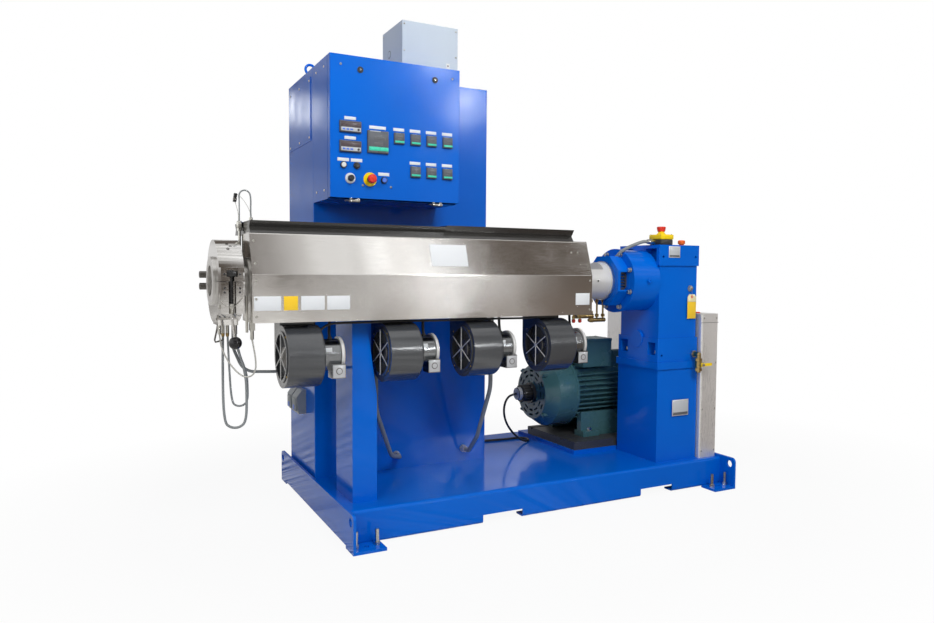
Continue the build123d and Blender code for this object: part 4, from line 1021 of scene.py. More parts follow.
@dataclass
class Gearbox:
    """Bolts, plates, tag, stop station and plugs of the gear reducer. Sizes are in millimetres."""

    front: float = -445.0
    left: float = 624.0
    top: float = 1247.0
    axis_y: float = -290.0
    axis_z: float = 1065.0
    foot_bolts: tuple = (-402.0, -178.0)
    nameplates: tuple = ((683.0, 757.0, 1183.0, 1240.0, -445.0), (718.0, 826.0, 376.0, 458.0, -453.0))
    tag: tuple = (814.0, 872.0, 872.0, 958.0)
    tag_thickness: float = 1.2

    def bolts(self) -> None:
        """Flange bolts, corner bolts, a small plug, and a near-black disc of painted shade for a hole in the
        throat.
        """
        shape = Shape()
        for place in around((460, self.axis_y, self.axis_z), 141, 8):
            shape.hex_head(place, LEFT, 0.019, 0.013, ZINC, 0.0135)
        for y in self.foot_bolts:
            shape.hex_head(mm(self.left + 30, y, 696), UP, 0.019, 0.013, ZINC, 0.014)
        shape.revolve(mm(555, self.axis_y - 163, self.axis_z), FRONT, HOUSING_PLUG, BLUE, 6)
        # A near-black disc for the throat's hole: painted shade.
        shape.revolve(mm(293, self.axis_y - 94.5, self.axis_z), FRONT, THROAT_HOLE, PAINTED_SHADE_BLACK, 20)
        shape.build("gearbox_bolts", Body.SKID, "zinc_steel")

    def plates(self) -> None:
        """Blank nameplates with rivets, and the hanging tag."""
        shape = Shape()
        for x0, x1, z0, z1, y in self.nameplates:
            shape.box(mm(x0, y - 1.2, z0), mm(x1, y, z1), GUARD_STEEL, 0.0005)
            shape.box(mm(x0 + 4, y - 1.5, z0 + 4), mm(x1 - 4, y - 1, z1 - 4), PALE_STRIP, 0.0002)
            shape.box(mm(x0 + 4, y - 1.9, z0 + 4), mm(x1 - 4, y - 1.3, z0 + (z1 - z0) * 0.22), INSTRUMENT,
                      0.0002)
            for x in (x0 + 4, x1 - 4):
                for z in (z0 + 4, z1 - 4):
                    shape.pan_screw(mm(x, y - 1.2, z), FRONT, 0.0018, ZINC)
        shape.build("blank_nameplates", Body.SKID, "instrument_plastic")
        tag = Shape()
        front = self.front
        push = Vector((0, -self.tag_thickness / 1000, 0))
        left, right, bottom, seam = self.tag
        shoulder = seam + 26
        outline = [mm(left, front, bottom), mm(right, front, bottom), mm(right, front, seam),
                   mm(left, front, seam)]
        tag.plate(outline, push, TAG, 0.0004)
        head = [mm(left, front, seam + 0.5), mm(right, front, seam + 0.5), mm(right, front, shoulder),
                mm(right - 12, front, shoulder + 13), mm(left + 12, front, shoulder + 13),
                mm(left, front, shoulder)]
        tag.plate(head, push, CREAM, 0.0004)
        middle = (left + right) / 2
        tag.ring(mm(middle, front - 1, shoulder), FRONT, 0.0075, 0.004, 0.001, RED, 24)
        string = [mm(middle, front - 2, shoulder), mm(middle - 4, front - 6, shoulder + 16),
                  mm(middle - 7, front - 8, shoulder + 36)]
        tag.tube(smooth_line(string, 5), 0.0008, ZINC, 6)
        tag.build("oil_tag", Body.SKID, "yellow_plastic")

    def station(self) -> None:
        """The emergency stop box on the gearbox: black base, yellow lid, red mushroom."""
        low, high = box_mm("stop_station")
        shape = Shape()
        lid = self.top + (high.z - self.top) * 0.30
        x = (low.x + high.x) / 2
        y = (low.y + high.y) / 2
        shape.box(mm(low.x + 9, low.y + 6, self.top), mm(high.x - 9, high.y - 9, lid), BLACK, 0.004)
        shape.box(mm(low.x + 6, low.y + 3, lid), mm(high.x - 6, high.y - 6, lid + 25), YELLOW, 0.005)
        shape.revolve(mm(x, y, lid + 25), UP, STATION_NECK, YELLOW, 32)
        cap = lid + 40
        rise = (high.z - cap) / 1000
        shape.revolve(mm(x, y, cap), UP,
                      [(0, 0.0145), (0.001, 0.0185), (rise * 0.5, 0.0215), (rise * 0.86, 0.0225),
                       (rise * 0.97, 0.0200), (rise, 0.012), (rise, 0)], RED, 40)
        for across in (-1, 1):
            for along in (-1, 1):
                shape.pan_screw(mm(x + across * 36, y + along * 36, lid + 25), UP, 0.003, DARK_STEEL)
        gland = low.x + 9
        shape.rod(mm(gland - 26, y, 1263), mm(gland, y, 1262), 0.0105, ZINC, 0.001, 20)
        shape.nut(mm(gland - 24, y, 1263), LEFT, 0.015, 0.012, ZINC)
        shape.revolve(mm(gland - 36, y, 1263), LEFT, GLAND_NUT, ZINC, 24)
        hose = [mm(gland - 50, y, 1263), mm(gland - 80, y, 1261), mm(gland - 122, y + 4, 1248),
                mm(gland - 160, y + 12, 1232), mm(gland - 190, y + 30, 1210), mm(gland - 200, y + 60, 1180)]
        shape.tube(smooth_line(hose, 8), 0.0085, CABLE_GREY, 14)
        shape.build("stop_station_detail", Body.SKID, "yellow_plastic", ["stop_station"])

    def plugs(self) -> None:
        """The orange breather and the sight plug."""
        shape = Shape()
        shape.revolve(mm(812, self.front + 50, self.top), UP, BREATHER, ORANGE, 12)
        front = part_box("oil_plugs")[0].y * 1000 + 14
        shape.revolve(mm(835, front, 1027), FRONT, SIGHT_PLUG, ZINC, 6)
        shape.build("oil_plug_detail", Body.SKID, "orange_plastic", ["oil_plugs"])

    def build(self) -> None:
        """Dress the gearbox."""
        self.bolts()
        self.plates()
        self.station()
        self.plugs()


# Hood

@dataclass
class Hood:
    """Screws and blank plates of the barrel cover. Sizes are in millimetres."""

    front: float = -500.0
    knee: float = 1092.0
    top: float = 1250.0
    setback: float = 50.0
    screw: float = 4.8
    screws: tuple = ((-1364.0, 934.0), (-1364.0, 1000.0), (-1364.0, 1066.0), (158.0, 934.0),
                     (158.0, 1068.0))
    slope_screws: tuple = ((-1364.0, 1132.0), (-1364.0, 1218.0), (74.0, 1197.0), (109.0, 1197.0))
    plate: tuple = ((-643.0, 1128.0), (-472.0, 1128.0), (-472.0, 1220.0), (-643.0, 1220.0))
    labels: tuple = ((-1372.0, 100.0, LABEL), (-1262.0, 54.0, TAG), (-1196.0, 92.0, LABEL),
                     (-1094.0, 92.0, LABEL), (78.0, 78.0, LABEL))
    label_edges: tuple = (956.0, 1010.0)

    def on_slope(self, x: float, z: float) -> Point:
        """A point on the sloped upper panel."""
        share = (z - self.knee) / (self.top - self.knee)
        return mm(x, self.front + self.setback * share, z)

    def build(self) -> None:
        """Dress the hood."""
        slope = Vector((0, -(self.top - self.knee), self.setback)).normalized()
        shape = Shape()
        for x, z in self.screws:
            shape.pan_screw(mm(x, self.front, z), FRONT, self.screw / 1000, ZINC)
        for x, z in self.slope_screws:
            shape.pan_screw(self.on_slope(x, z), slope, self.screw / 1000, ZINC)
        shape.build("hood_screws", Body.SKID, "zinc_steel")
        plate = Shape()
        corners = [self.on_slope(x, z) for x, z in self.plate]
        plate.plate(corners, slope * 0.0012, LABEL, 0.0004)
        bottom, top = self.label_edges
        for x, wide, finish in self.labels:
            plate.box(mm(x, self.front - 0.8, bottom), mm(x + wide, self.front, top), finish, 0.0004)
        plate.build("hood_blank_plate", Body.SKID, "instrument_plastic")


# Die end

TEE_DIMPLE: Profile = ((0, 0.014), (0.003, 0.012), (0.001, 0.007), (0.001, 0))
SWING_PIN: Profile = ((0, 0.011), (0.002, 0.013), (0.016, 0.013), (0.018, 0.011), (0.018, 0))
KNOB_HEAD: Profile = ((0, 0.011), (0.001, 0.0135), (0.017, 0.0135), (0.0205, 0.011), (0.0205, 0))
KNOB_COLLAR: Profile = ((0, 0.0125), (0.014, 0.0125), (0.016, 0.010), (0.019, 0.0095))
RING_DOT: Profile = ((0, 0.0030), (0.0006, 0.0026), (0.0006, 0))
FORK_HOLE: Profile = ((0, 0.0042), (0.0006, 0.0036), (0.0006, 0))
LEAD_FERRULE: Profile = ((0, 0.0072), (0.004, 0.0072), (0.013, 0.0058), (0.013, 0))
SENSOR_NUT: Profile = ((0, 0.0105), (0.002, 0.0118), (0.022, 0.0118), (0.026, 0.009), (0.028, 0.004),
                       (0.028, 0))


@dataclass
class DieEnd:
    """Clamp lever, knobs, screws, lanyard and melt sensor. Sizes are in millimetres."""

    axis_y: float = -290.0
    axis_z: float = 1065.0
    radius: float = 159.0
    clamp_left: float = -1487.0
    fork_x: float = -1450.0
    fork_front: float = -504.0
    swing_y: float = -476.5
    lever_end: Point = (-1437.0, -476.5, 837.0)
    ring_screws: tuple = (28.0, 40.0)
    ring_dots: float = 58.0
    fork_holes: tuple = ((-1477.0, 1041.0), (-1477.0, 1026.0), (-1423.0, 1041.0), (-1423.0, 1026.0),
                         (-1477.0, 1092.0), (-1423.0, 1092.0))

    def on_ring(self, x: float, angle: float) -> Point:
        """A point on the clamp ring; the angle runs from the top to the operator's side."""
        turn = math.radians(angle)
        return mm(x, self.axis_y - self.radius * math.sin(turn), self.axis_z + self.radius * math.cos(turn))

    def lever(self) -> None:
        """The swing bolt with its tee head, and the lever with its ball."""
        shape = Shape()
        x, y = self.fork_x, self.swing_y
        shape.box(mm(x - 19.5, y - 17, 1083), mm(x + 19.5, y + 17, 1104), OXIDE, 0.004)
        shape.revolve(mm(x, y, 1104), UP, TEE_DIMPLE, OXIDE, 28)
        shape.rod(mm(x, y, 985), mm(x, y, 1084), 0.0082, OXIDE)
        shape.revolve(mm(x - 9, y, 973), RIGHT, SWING_PIN, ZINC, 28)
        shape.rod(mm(x, y, 945), mm(x, y, 968), 0.0095, ZINC, 0.001)
        shape.rod(mm(x, y, 950), mm(*self.lever_end), 0.0055, POLISHED)
        shape.ball(mm(*self.lever_end), 0.024, KNOB)
        shape.build("clamp_lever_detail", Body.SKID, "black_plastic", ["clamp_lever"])

    def screws(self) -> None:
        """Knurled knobs, ring screws, dimples and fork holes."""
        shape = Shape()
        low, high = box_mm("clamp_bolts")
        knob_y = high.y - 9
        for side in (-1, 1):
            z = self.axis_z + side * 24
            shape.revolve(mm(low.x + 20, knob_y, z), LEFT, KNOB_HEAD, KNOB, 14)
            shape.revolve(mm(low.x + 40, knob_y, z), LEFT, KNOB_COLLAR, MACHINED, 28)
        for angle in self.ring_screws:
            out = Vector(self.on_ring(0, angle)) - Vector(mm(0, self.axis_y, self.axis_z))
            shape.cap_screw(self.on_ring(-1446, angle), out, 0.006, 0.002, DARK_STEEL)
        dots = 7
        for step in range(dots):
            x = self.clamp_left + 8 + step * 12
            out = Vector(self.on_ring(0, self.ring_dots)) - Vector(mm(0, self.axis_y, self.axis_z))
            shape.revolve(self.on_ring(x, self.ring_dots), out, RING_DOT, DARK_STEEL, 12)
        # Black discs for the fork's holes: painted shade.
        for x, z in self.fork_holes:
            shape.revolve(mm(x, self.fork_front, z), FRONT, FORK_HOLE, CABLE_BLACK, 16)
        for side in (-1, 1):
            shape.hex_head(mm(self.fork_x + side * 40, self.swing_y, 973), (side, 0, 0), 0.016, 0.006, ZINC)
        shape.build("clamp_screws", Body.SKID, "zinc_steel")

    def wires(self) -> None:
        """The safety lanyard and the small rods under the ring."""
        shape = Shape()
        front = self.fork_front - 6
        ends = [mm(self.clamp_left + 5, self.fork_front + 30, 1034), mm(-1497, front, 1016),
                mm(-1489, front, 993), mm(-1471, front, 976), mm(-1447, front, 974), mm(-1428, front, 990),
                mm(-1414, front + 4, 1010), mm(-1409, self.fork_front + 12, 1024)]
        shape.tube(smooth_line(ends, 6), 0.0013, ZINC, 8)
        shape.build("clamp_lanyard", Body.SKID, "zinc_steel")
        rods = Shape()
        bend = [mm(-1474, -330, 918), mm(-1480, -330, 880), mm(-1489, -330, 838), mm(-1486, -330, 830),
                mm(-1476, -330, 832), mm(-1456, -330, 838)]
        rods.tube(bend, 0.0034, DARK_STEEL, 10)
        rods.rod(mm(-1388, -440, 872), mm(-1388, -440, 1010), 0.0052, ZINC, 0.001)
        for x, y in ((-1455, -310), (-1438, -310)):
            rods.revolve(mm(x, y, 862), DOWN, LEAD_FERRULE, BRASS, 16)
        rods.build("clamp_rods", Body.SKID, "zinc_steel")

    def sensor(self) -> None:
        """The melt sensor's stem and nut, its wire, and the loose plug beside it."""
        low, high = box_mm("melt_sensor")
        x, y = (low.x + high.x) / 2, (low.y + high.y) / 2
        shape = Shape()
        shape.rod(mm(x, y, low.z), mm(x, y, 1262), 0.0055, ZINC)
        shape.hex_head(mm(x, y, 1262), UP, 0.017, 0.012, ZINC)
        shape.revolve(mm(x, y, 1274), UP, SENSOR_NUT, ZINC, 6)
        shape.rod(mm(x, y, 1300), mm(x, y, high.z), 0.0024, CABLE_GREY)
        shape.tube(smooth_line([mm(x - 3, y, 1300), mm(x - 4, y, 1328), mm(x - 9, y, 1352),
                                mm(x - 16, y, 1376)], 6), 0.0011, CABLE_PALE, 8)
        shape.rod(mm(x - 18, y, 1374), mm(x - 13, y, 1408), 0.0068, KNOB, 0.0012)
        shape.rod(mm(x - 17, y, 1380), mm(x - 15.6, y, 1390), 0.0074, DARK_STEEL, 0.0008)
        shape.tube(smooth_line([mm(x - 13, y, 1407), mm(x + 4, y, 1397), mm(x + 28, y, 1366),
                                mm(x + 42, y, 1334), mm(x + 45, y, 1312)], 6), 0.0010, CABLE_PALE, 8)
        shape.build("melt_sensor_detail", Body.SKID, "zinc_steel", ["melt_sensor"])

    def build(self) -> None:
        """Dress the die end."""
        self.lever()
        self.screws()
        self.wires()
        self.sensor()


# Drive motor

ENCODER_CAP: Profile = ((0, 0.0345), (0.018, 0.0345), (0.0235, 0.030), (0.0235, 0.0075))


@dataclass
class Motor:
    """Bolts, ears, encoder cap and terminal lid of the drive motor. Sizes are in millimetres."""

    left: float = 254.0
    centre_y: float = 154.0
    centre_z: float = 440.0
    foot_top: float = 237.0
    foot_rows: tuple = (-14.0, 322.0)
    foot_columns: tuple = (526.0, 800.0)

    def bell(self, shape: Shape) -> None:
        """Ears and bolts round the end bell."""
        for ear in around((self.left + 8, self.centre_y, self.centre_z), 152, 4):
            shape.rod(ear, Vector(ear) + Vector((0.038, 0, 0)), 0.013, MOTOR_GREEN, 0.002)
            shape.hex_head(ear, LEFT, 0.013, 0.008, MOTOR_GREEN, 0.010)
        shape.ring(mm(449, self.centre_y, self.centre_z), LEFT, 0.1885, 0.180, 0.014, MOTOR_GREEN, 72)
        for place in around((self.left, self.centre_y, self.centre_z), 66, 8):
            shape.hex_head(place, LEFT, 0.009, 0.006, MOTOR_GREEN)

    def encoder(self, shape: Shape) -> None:
        """The encoder's grey cap and its ring of screws."""
        shape.revolve(mm(182, self.centre_y, self.centre_z), LEFT, ENCODER_CAP, PALE_STRIP, 40)
        shape.ring(mm(184, self.centre_y, self.centre_z), RIGHT, 0.0485, 0.040, 0.006, BLACK, 40)
        for place in around((236, self.centre_y, self.centre_z), 52, 4):
            shape.cap_screw(place, LEFT, 0.0032, 0.004, ZINC)

    def feet(self, shape: Shape) -> None:
        """Foot bolts with their washers."""
        for y in self.foot_rows:
            for x in self.foot_columns:
                shape.hex_head(mm(x, y, self.foot_top), UP, 0.022, 0.014, ZINC, 0.018)

    def terminal(self, shape: Shape) -> None:
        """The terminal box's lid and its screws."""
        low, high = box_mm("motor_terminal_box")
        shape.box(mm(low.x - 3, low.y - 3, high.z - 12), mm(high.x + 3, high.y + 3, high.z + 4), MOTOR_GREEN,
                  0.004)
        for x in (low.x + 12, high.x - 12):
            for y in (low.y + 12, high.y - 12):
                shape.pan_screw(mm(x, y, high.z + 4), UP, 0.005, ZINC)

    def build(self) -> None:
        """Dress the motor."""
        shape = Shape()
        self.bell(shape)
        self.encoder(shape)
        self.feet(shape)
        self.terminal(shape)
        shape.build("motor_trim", Body.SKID, "motor_green")


# Cabinet, sockets and resistor box

BOX_KNOCKOUT: Profile = ((0, 0.0195), (0.0012, 0.019), (0.0012, 0))
BOX_DISC: Profile = ((0, 0.0145), (0.0008, 0.0143), (0.0008, 0))
TAG_HOLE: Profile = ((0, 0.004), (0.0006, 0.0038), (0.0006, 0))


@dataclass
class Cabinet:
    """Screws, socket lids, knockouts and rear covers of the electric cabinet. Sizes are in millimetres."""

    left: float = -1000.0
    access: tuple = (62.0, 445.0, 1700.0, 1987.0)
    box_screws: tuple = ((-148.0, 1982.0), (-148.0, 1455.0), (-30.0, 1982.0), (-30.0, 1455.0))
    back: float = 479.0
    cover_sides: tuple = (-955.0, -151.0)
    cover_rows: tuple = ((230.0, 1085.0), (1110.0, 1960.0))
    louvre_lefts: tuple = (-860.0, -506.0)
    louvre_length: float = 260.0
    louvre_pitch: float = 26.0
    screw_inset: float = 20.0

    def panels(self, shape: Shape) -> None:
        """Screws of the access panel and of the panel box's side."""
        y0, y1, z0, z1 = self.access
        for y in (y0 + 16, (y0 + y1) / 2, y1 - 16):
            for z in (z0 + 16, z1 - 16):
                shape.pan_screw(mm(self.left - 3, y, z), LEFT, 0.0055, ZINC)
        for y, z in self.box_screws:
            shape.pan_screw(mm(self.left, y, z), LEFT, 0.0055, ZINC)

    def sockets(self, shape: Shape) -> None:
        """Sprung lids, hinge pins and screws of the two outlets."""
        low, high = box_mm("socket_outlets")
        wide = (high.y - low.y - 12) / 2
        for start in (low.y, low.y + wide + 12):
            face = low.x + 1
            shape.box(mm(face - 5, start + 10, low.z + 12), mm(face + 6, start + wide - 10, high.z - 40),
                      SOCKET_GREY, 0.004)
            shape.rod(mm(face + 4, start + 14, high.z - 36), mm(face + 4, start + wide - 14, high.z - 36),
                      0.004, DARK_STEEL)
            shape.box(mm(face - 7, start + wide / 2 - 12, low.z + 16),
                      mm(face - 4, start + wide / 2 + 12, low.z + 40), BLUE_KEY, 0.0015)

    def resistor(self, shape: Shape) -> None:
        """Knockouts, cover screws and the tag of the box on top."""
        low, high = box_mm("resistor_box")
        shape.revolve(mm(low.x, low.y + 170, low.z + 159), LEFT, BOX_KNOCKOUT, SOCKET_GREY, 32)
        shape.revolve(mm(low.x - 1.2, low.y + 170, low.z + 159), LEFT, BOX_DISC, BOX_GREY, 32)
        for x in (low.x + 10, high.x - 10):
            for z in (low.z + 60, (low.z + high.z) / 2, high.z - 16):
                shape.pan_screw(mm(x, low.y, z), FRONT, 0.0042, ZINC)
        for y in (low.y + 12, high.y - 12):
            for z in (low.z + 40, high.z - 16):
                shape.pan_screw(mm(low.x, y, z), LEFT, 0.0042, ZINC)
        shape.box(mm(high.x - 62, low.y - 1, low.z + 72), mm(high.x - 44, low.y, low.z + 106), WHITE_PLASTIC,
                  0.0005)
        # A black disc for the tag's hole: painted shade.
        shape.revolve(mm(high.x - 53, low.y - 1, low.z + 94), FRONT, TAG_HOLE, BLACK, 16)

    def rear(self, shape: Shape) -> None:
        """Two screwed covers with louvres on the back, a guess: the photograph shows only the front."""
        left, right = self.cover_sides
        face = self.back + 3
        for bottom, top in self.cover_rows:
            shape.box(mm(left, self.back, bottom), mm(right, face, top), BLUE, 0.0015)
            for x in (left + self.screw_inset, (left + right) / 2, right - self.screw_inset):
                for z in (bottom + self.screw_inset, (bottom + top) / 2, top - self.screw_inset):
                    shape.pan_screw(mm(x, face, z), BACK, 0.0058, ZINC)
            for step in range(7):
                z = top - 110 - step * self.louvre_pitch
                for x in self.louvre_lefts:
                    outline = [mm(x, face, z), mm(x, face, z + 15), mm(x, face + 9, z)]
                    shape.plate(outline, Vector((self.louvre_length / 1000, 0, 0)), BLUE, 0.001)

    def build(self) -> None:
        """Dress the cabinet."""
        shape = Shape()
        self.panels(shape)
        self.sockets(shape)
        self.resistor(shape)
        self.rear(shape)
        shape.build("cabinet_trim", Body.SKID, "zinc_steel")


# Inside the control panel

SWITCH_NUT: Profile = ((0, 0.0145), (0.007, 0.0145), (0.007, 0.0105), (0.012, 0.0105))


@dataclass
class PanelInside:
    """Gear plate, ducts, breakers and terminals in the panel box, and the instruments' backs on its door.

    Nothing here shows in the photograph. It is what such a panel usually holds. Sizes are in millimetres.
    """

    left: float = -962.0
    right: float = -428.0
    back: float = 20.0
    ducts: tuple = (1966.0, 1800.0, 1600.0)
    rails: tuple = ((1882.0, 18.0, 84.0, 70.0, WHITE_PLASTIC), (1682.0, 46.0, 78.0, 84.0, INSTRUMENT),
                    (1482.0, 12.0, 56.0, 48.0, PALE_STRIP))
    door_back: float = -200.0
    gasket: tuple = (-990.0, -400.0, 1440.0, 2010.0)

    def duct(self, shape: Shape, z: float) -> None:
        """A slotted cable duct across the plate."""
        shape.box(mm(self.left, self.back - 52, z - 18), mm(self.right, self.back - 2, z + 18), PALE_STRIP,
                  0.0015)
        shape.box(mm(self.left, self.back - 55, z - 20), mm(self.right, self.back - 51, z + 20), PALE_STRIP,
                  0.001)
        # Black strips for the duct's slots: painted shade.
        for step in range(26):
            x = self.left + 12 + step * 20
            for side in (-1, 1):
                shape.box(mm(x, self.back - 46, z + side * 18.4 - 0.5),
                          mm(x + 6, self.back - 14, z + side * 18.4 + 0.5), CABLE_BLACK)

    def devices(self, shape: Shape, z: float, pitch: float, tall: float, deep: float, finish: Finish) -> None:
        """A rail of equal devices, each with a front step, two screws and a wire."""
        shape.box(mm(self.left + 6, self.back - 10, z - 17), mm(self.right - 6, self.back - 2, z + 17), ZINC,
                  0.001)
        count = int((self.right - self.left - 60) // pitch)
        for step in range(count):
            x = self.left + 30 + step * pitch
            shape.box(mm(x, self.back - deep + 14, z - tall / 2),
                      mm(x + pitch - 1.5, self.back - 8, z + tall / 2), finish, 0.0015)
            shape.box(mm(x, self.back - deep, z - tall * 0.26),
                      mm(x + pitch - 1.5, self.back - deep + 16, z + tall * 0.26), finish, 0.0015)
            shape.box(mm(x + pitch * 0.3, self.back - deep - 6, z - 4),
                      mm(x + pitch * 0.6, self.back - deep + 2, z + 8), BLACK, 0.001)
            middle = x + pitch / 2
            for side in (-1, 1):
                shape.pan_screw(mm(middle, self.back - deep + 14, z + side * tall * 0.38), FRONT, 0.0035,
                                ZINC)
                wire = [mm(middle, self.back - deep + 16, z + side * tall * 0.44),
                        mm(middle, self.back - deep + 14, z + side * tall * 0.56),
                        mm(middle, self.back - 40, z + side * (tall * 0.56 + 22))]
                shape.tube(smooth_line(wire, 5), 0.0016, CABLE_BLACK if step % 3 else BLUE_KEY, 6)

    def backs(self, shape: Shape) -> None:
        """The instruments' housings, switch blocks and gasket on the inner face of the door."""
        door = ControlDoor()
        inner = self.door_back
        sizes = [(x + 2, z - 46, 92.0, 44.0) for x, z in door.meters]
        sizes.append((door.main_controller[0] + 3, door.main_controller[1] - 93, 90.0, 90.0))
        for row, top in enumerate(door.zone_tops):
            sizes += [(x + 1.5, top - 46.5, 45.0, 45.0) for x in door.zone_columns[row:]]
        for x, z, wide, tall in sizes:
            shape.box(mm(x, inner, z), mm(x + wide, inner + 78, z + tall), INSTRUMENT, 0.0015)
            shape.box(mm(x - 4, inner, z + 6), mm(x + wide + 4, inner + 9, z + tall - 6), BLACK, 0.001)
            shape.box(mm(x + 3, inner + 78, z + 4), mm(x + wide - 3, inner + 88, z + tall - 4), BOX_GREEN,
                      0.001)
            for step in range(int(wide // 9) - 1):
                shape.pan_screw(mm(x + 8 + step * 9, inner + 88, z + tall / 2), BACK, 0.0028, ZINC)
        for x, z in (*(button[:2] for button in door.buttons), door.dial, door.stop):
            shape.revolve(mm(x, inner, z), BACK, SWITCH_NUT, ZINC, 8)
            shape.box(mm(x - 14, inner + 10, z - 20), mm(x + 14, inner + 48, z + 20), BLACK, 0.0015)
            for side in (-1, 1):
                shape.pan_screw(mm(x + side * 7, inner + 48, z), BACK, 0.0034, BRASS)
        wide, thick = 12.0, 3.5
        left, right, bottom, top = self.gasket
        for x0, x1, z0, z1 in ((left, right, bottom, bottom + wide), (left, right, top - wide, top),
                               (left, left + wide, bottom + wide, top - wide),
                               (right - wide, right, bottom + wide, top - wide)):
            shape.box(mm(x0, inner, z0), mm(x1, inner + thick, z1), CABLE_BLACK, 0.001)

    def build(self) -> None:
        """Fill the panel box and the back of its door."""
        gear = Shape()
        gear.box(mm(self.left - 8, self.back - 2, 1448), mm(self.right + 8, self.back + 1, 1988), ZINC,
                 0.0008)
        for z in self.ducts:
            self.duct(gear, z)
        for rail in self.rails:
            self.devices(gear, *rail)
        gear.build("panel_gear", Body.SKID, "instrument_plastic")
        backs = Shape()
        self.backs(backs)
        backs.build("door_instrument_backs", Body.DOOR, "instrument_plastic")


# Skid, belt guard and pipework

GUARD_PLUG: Profile = ((0, 0.013), (0.003, 0.013), (0.006, 0.010), (0.006, 0))
LEVER_NUT: Profile = ((0, 0.0075), (0.006, 0.0075), (0.007, 0))
MANIFOLD_END: Profile = ((0, 0.0125), (0.016, 0.0120), (0.028, 0.0075), (0.030, 0))
NIPPLE_CAP: Profile = ((0, 0.0082), (0.010, 0.0088), (0.016, 0.0070), (0.018, 0))
CABINET_GLAND: Profile = ((0, 0.019), (0.010, 0.019), (0.010, 0.0155), (0.034, 0.0150), (0.036, 0.012),
                          (0.036, 0))
HOOD_GLAND: Profile = ((0, 0.019), (0.016, 0.019), (0.016, 0.0145), (0.040, 0.0140), (0.042, 0))


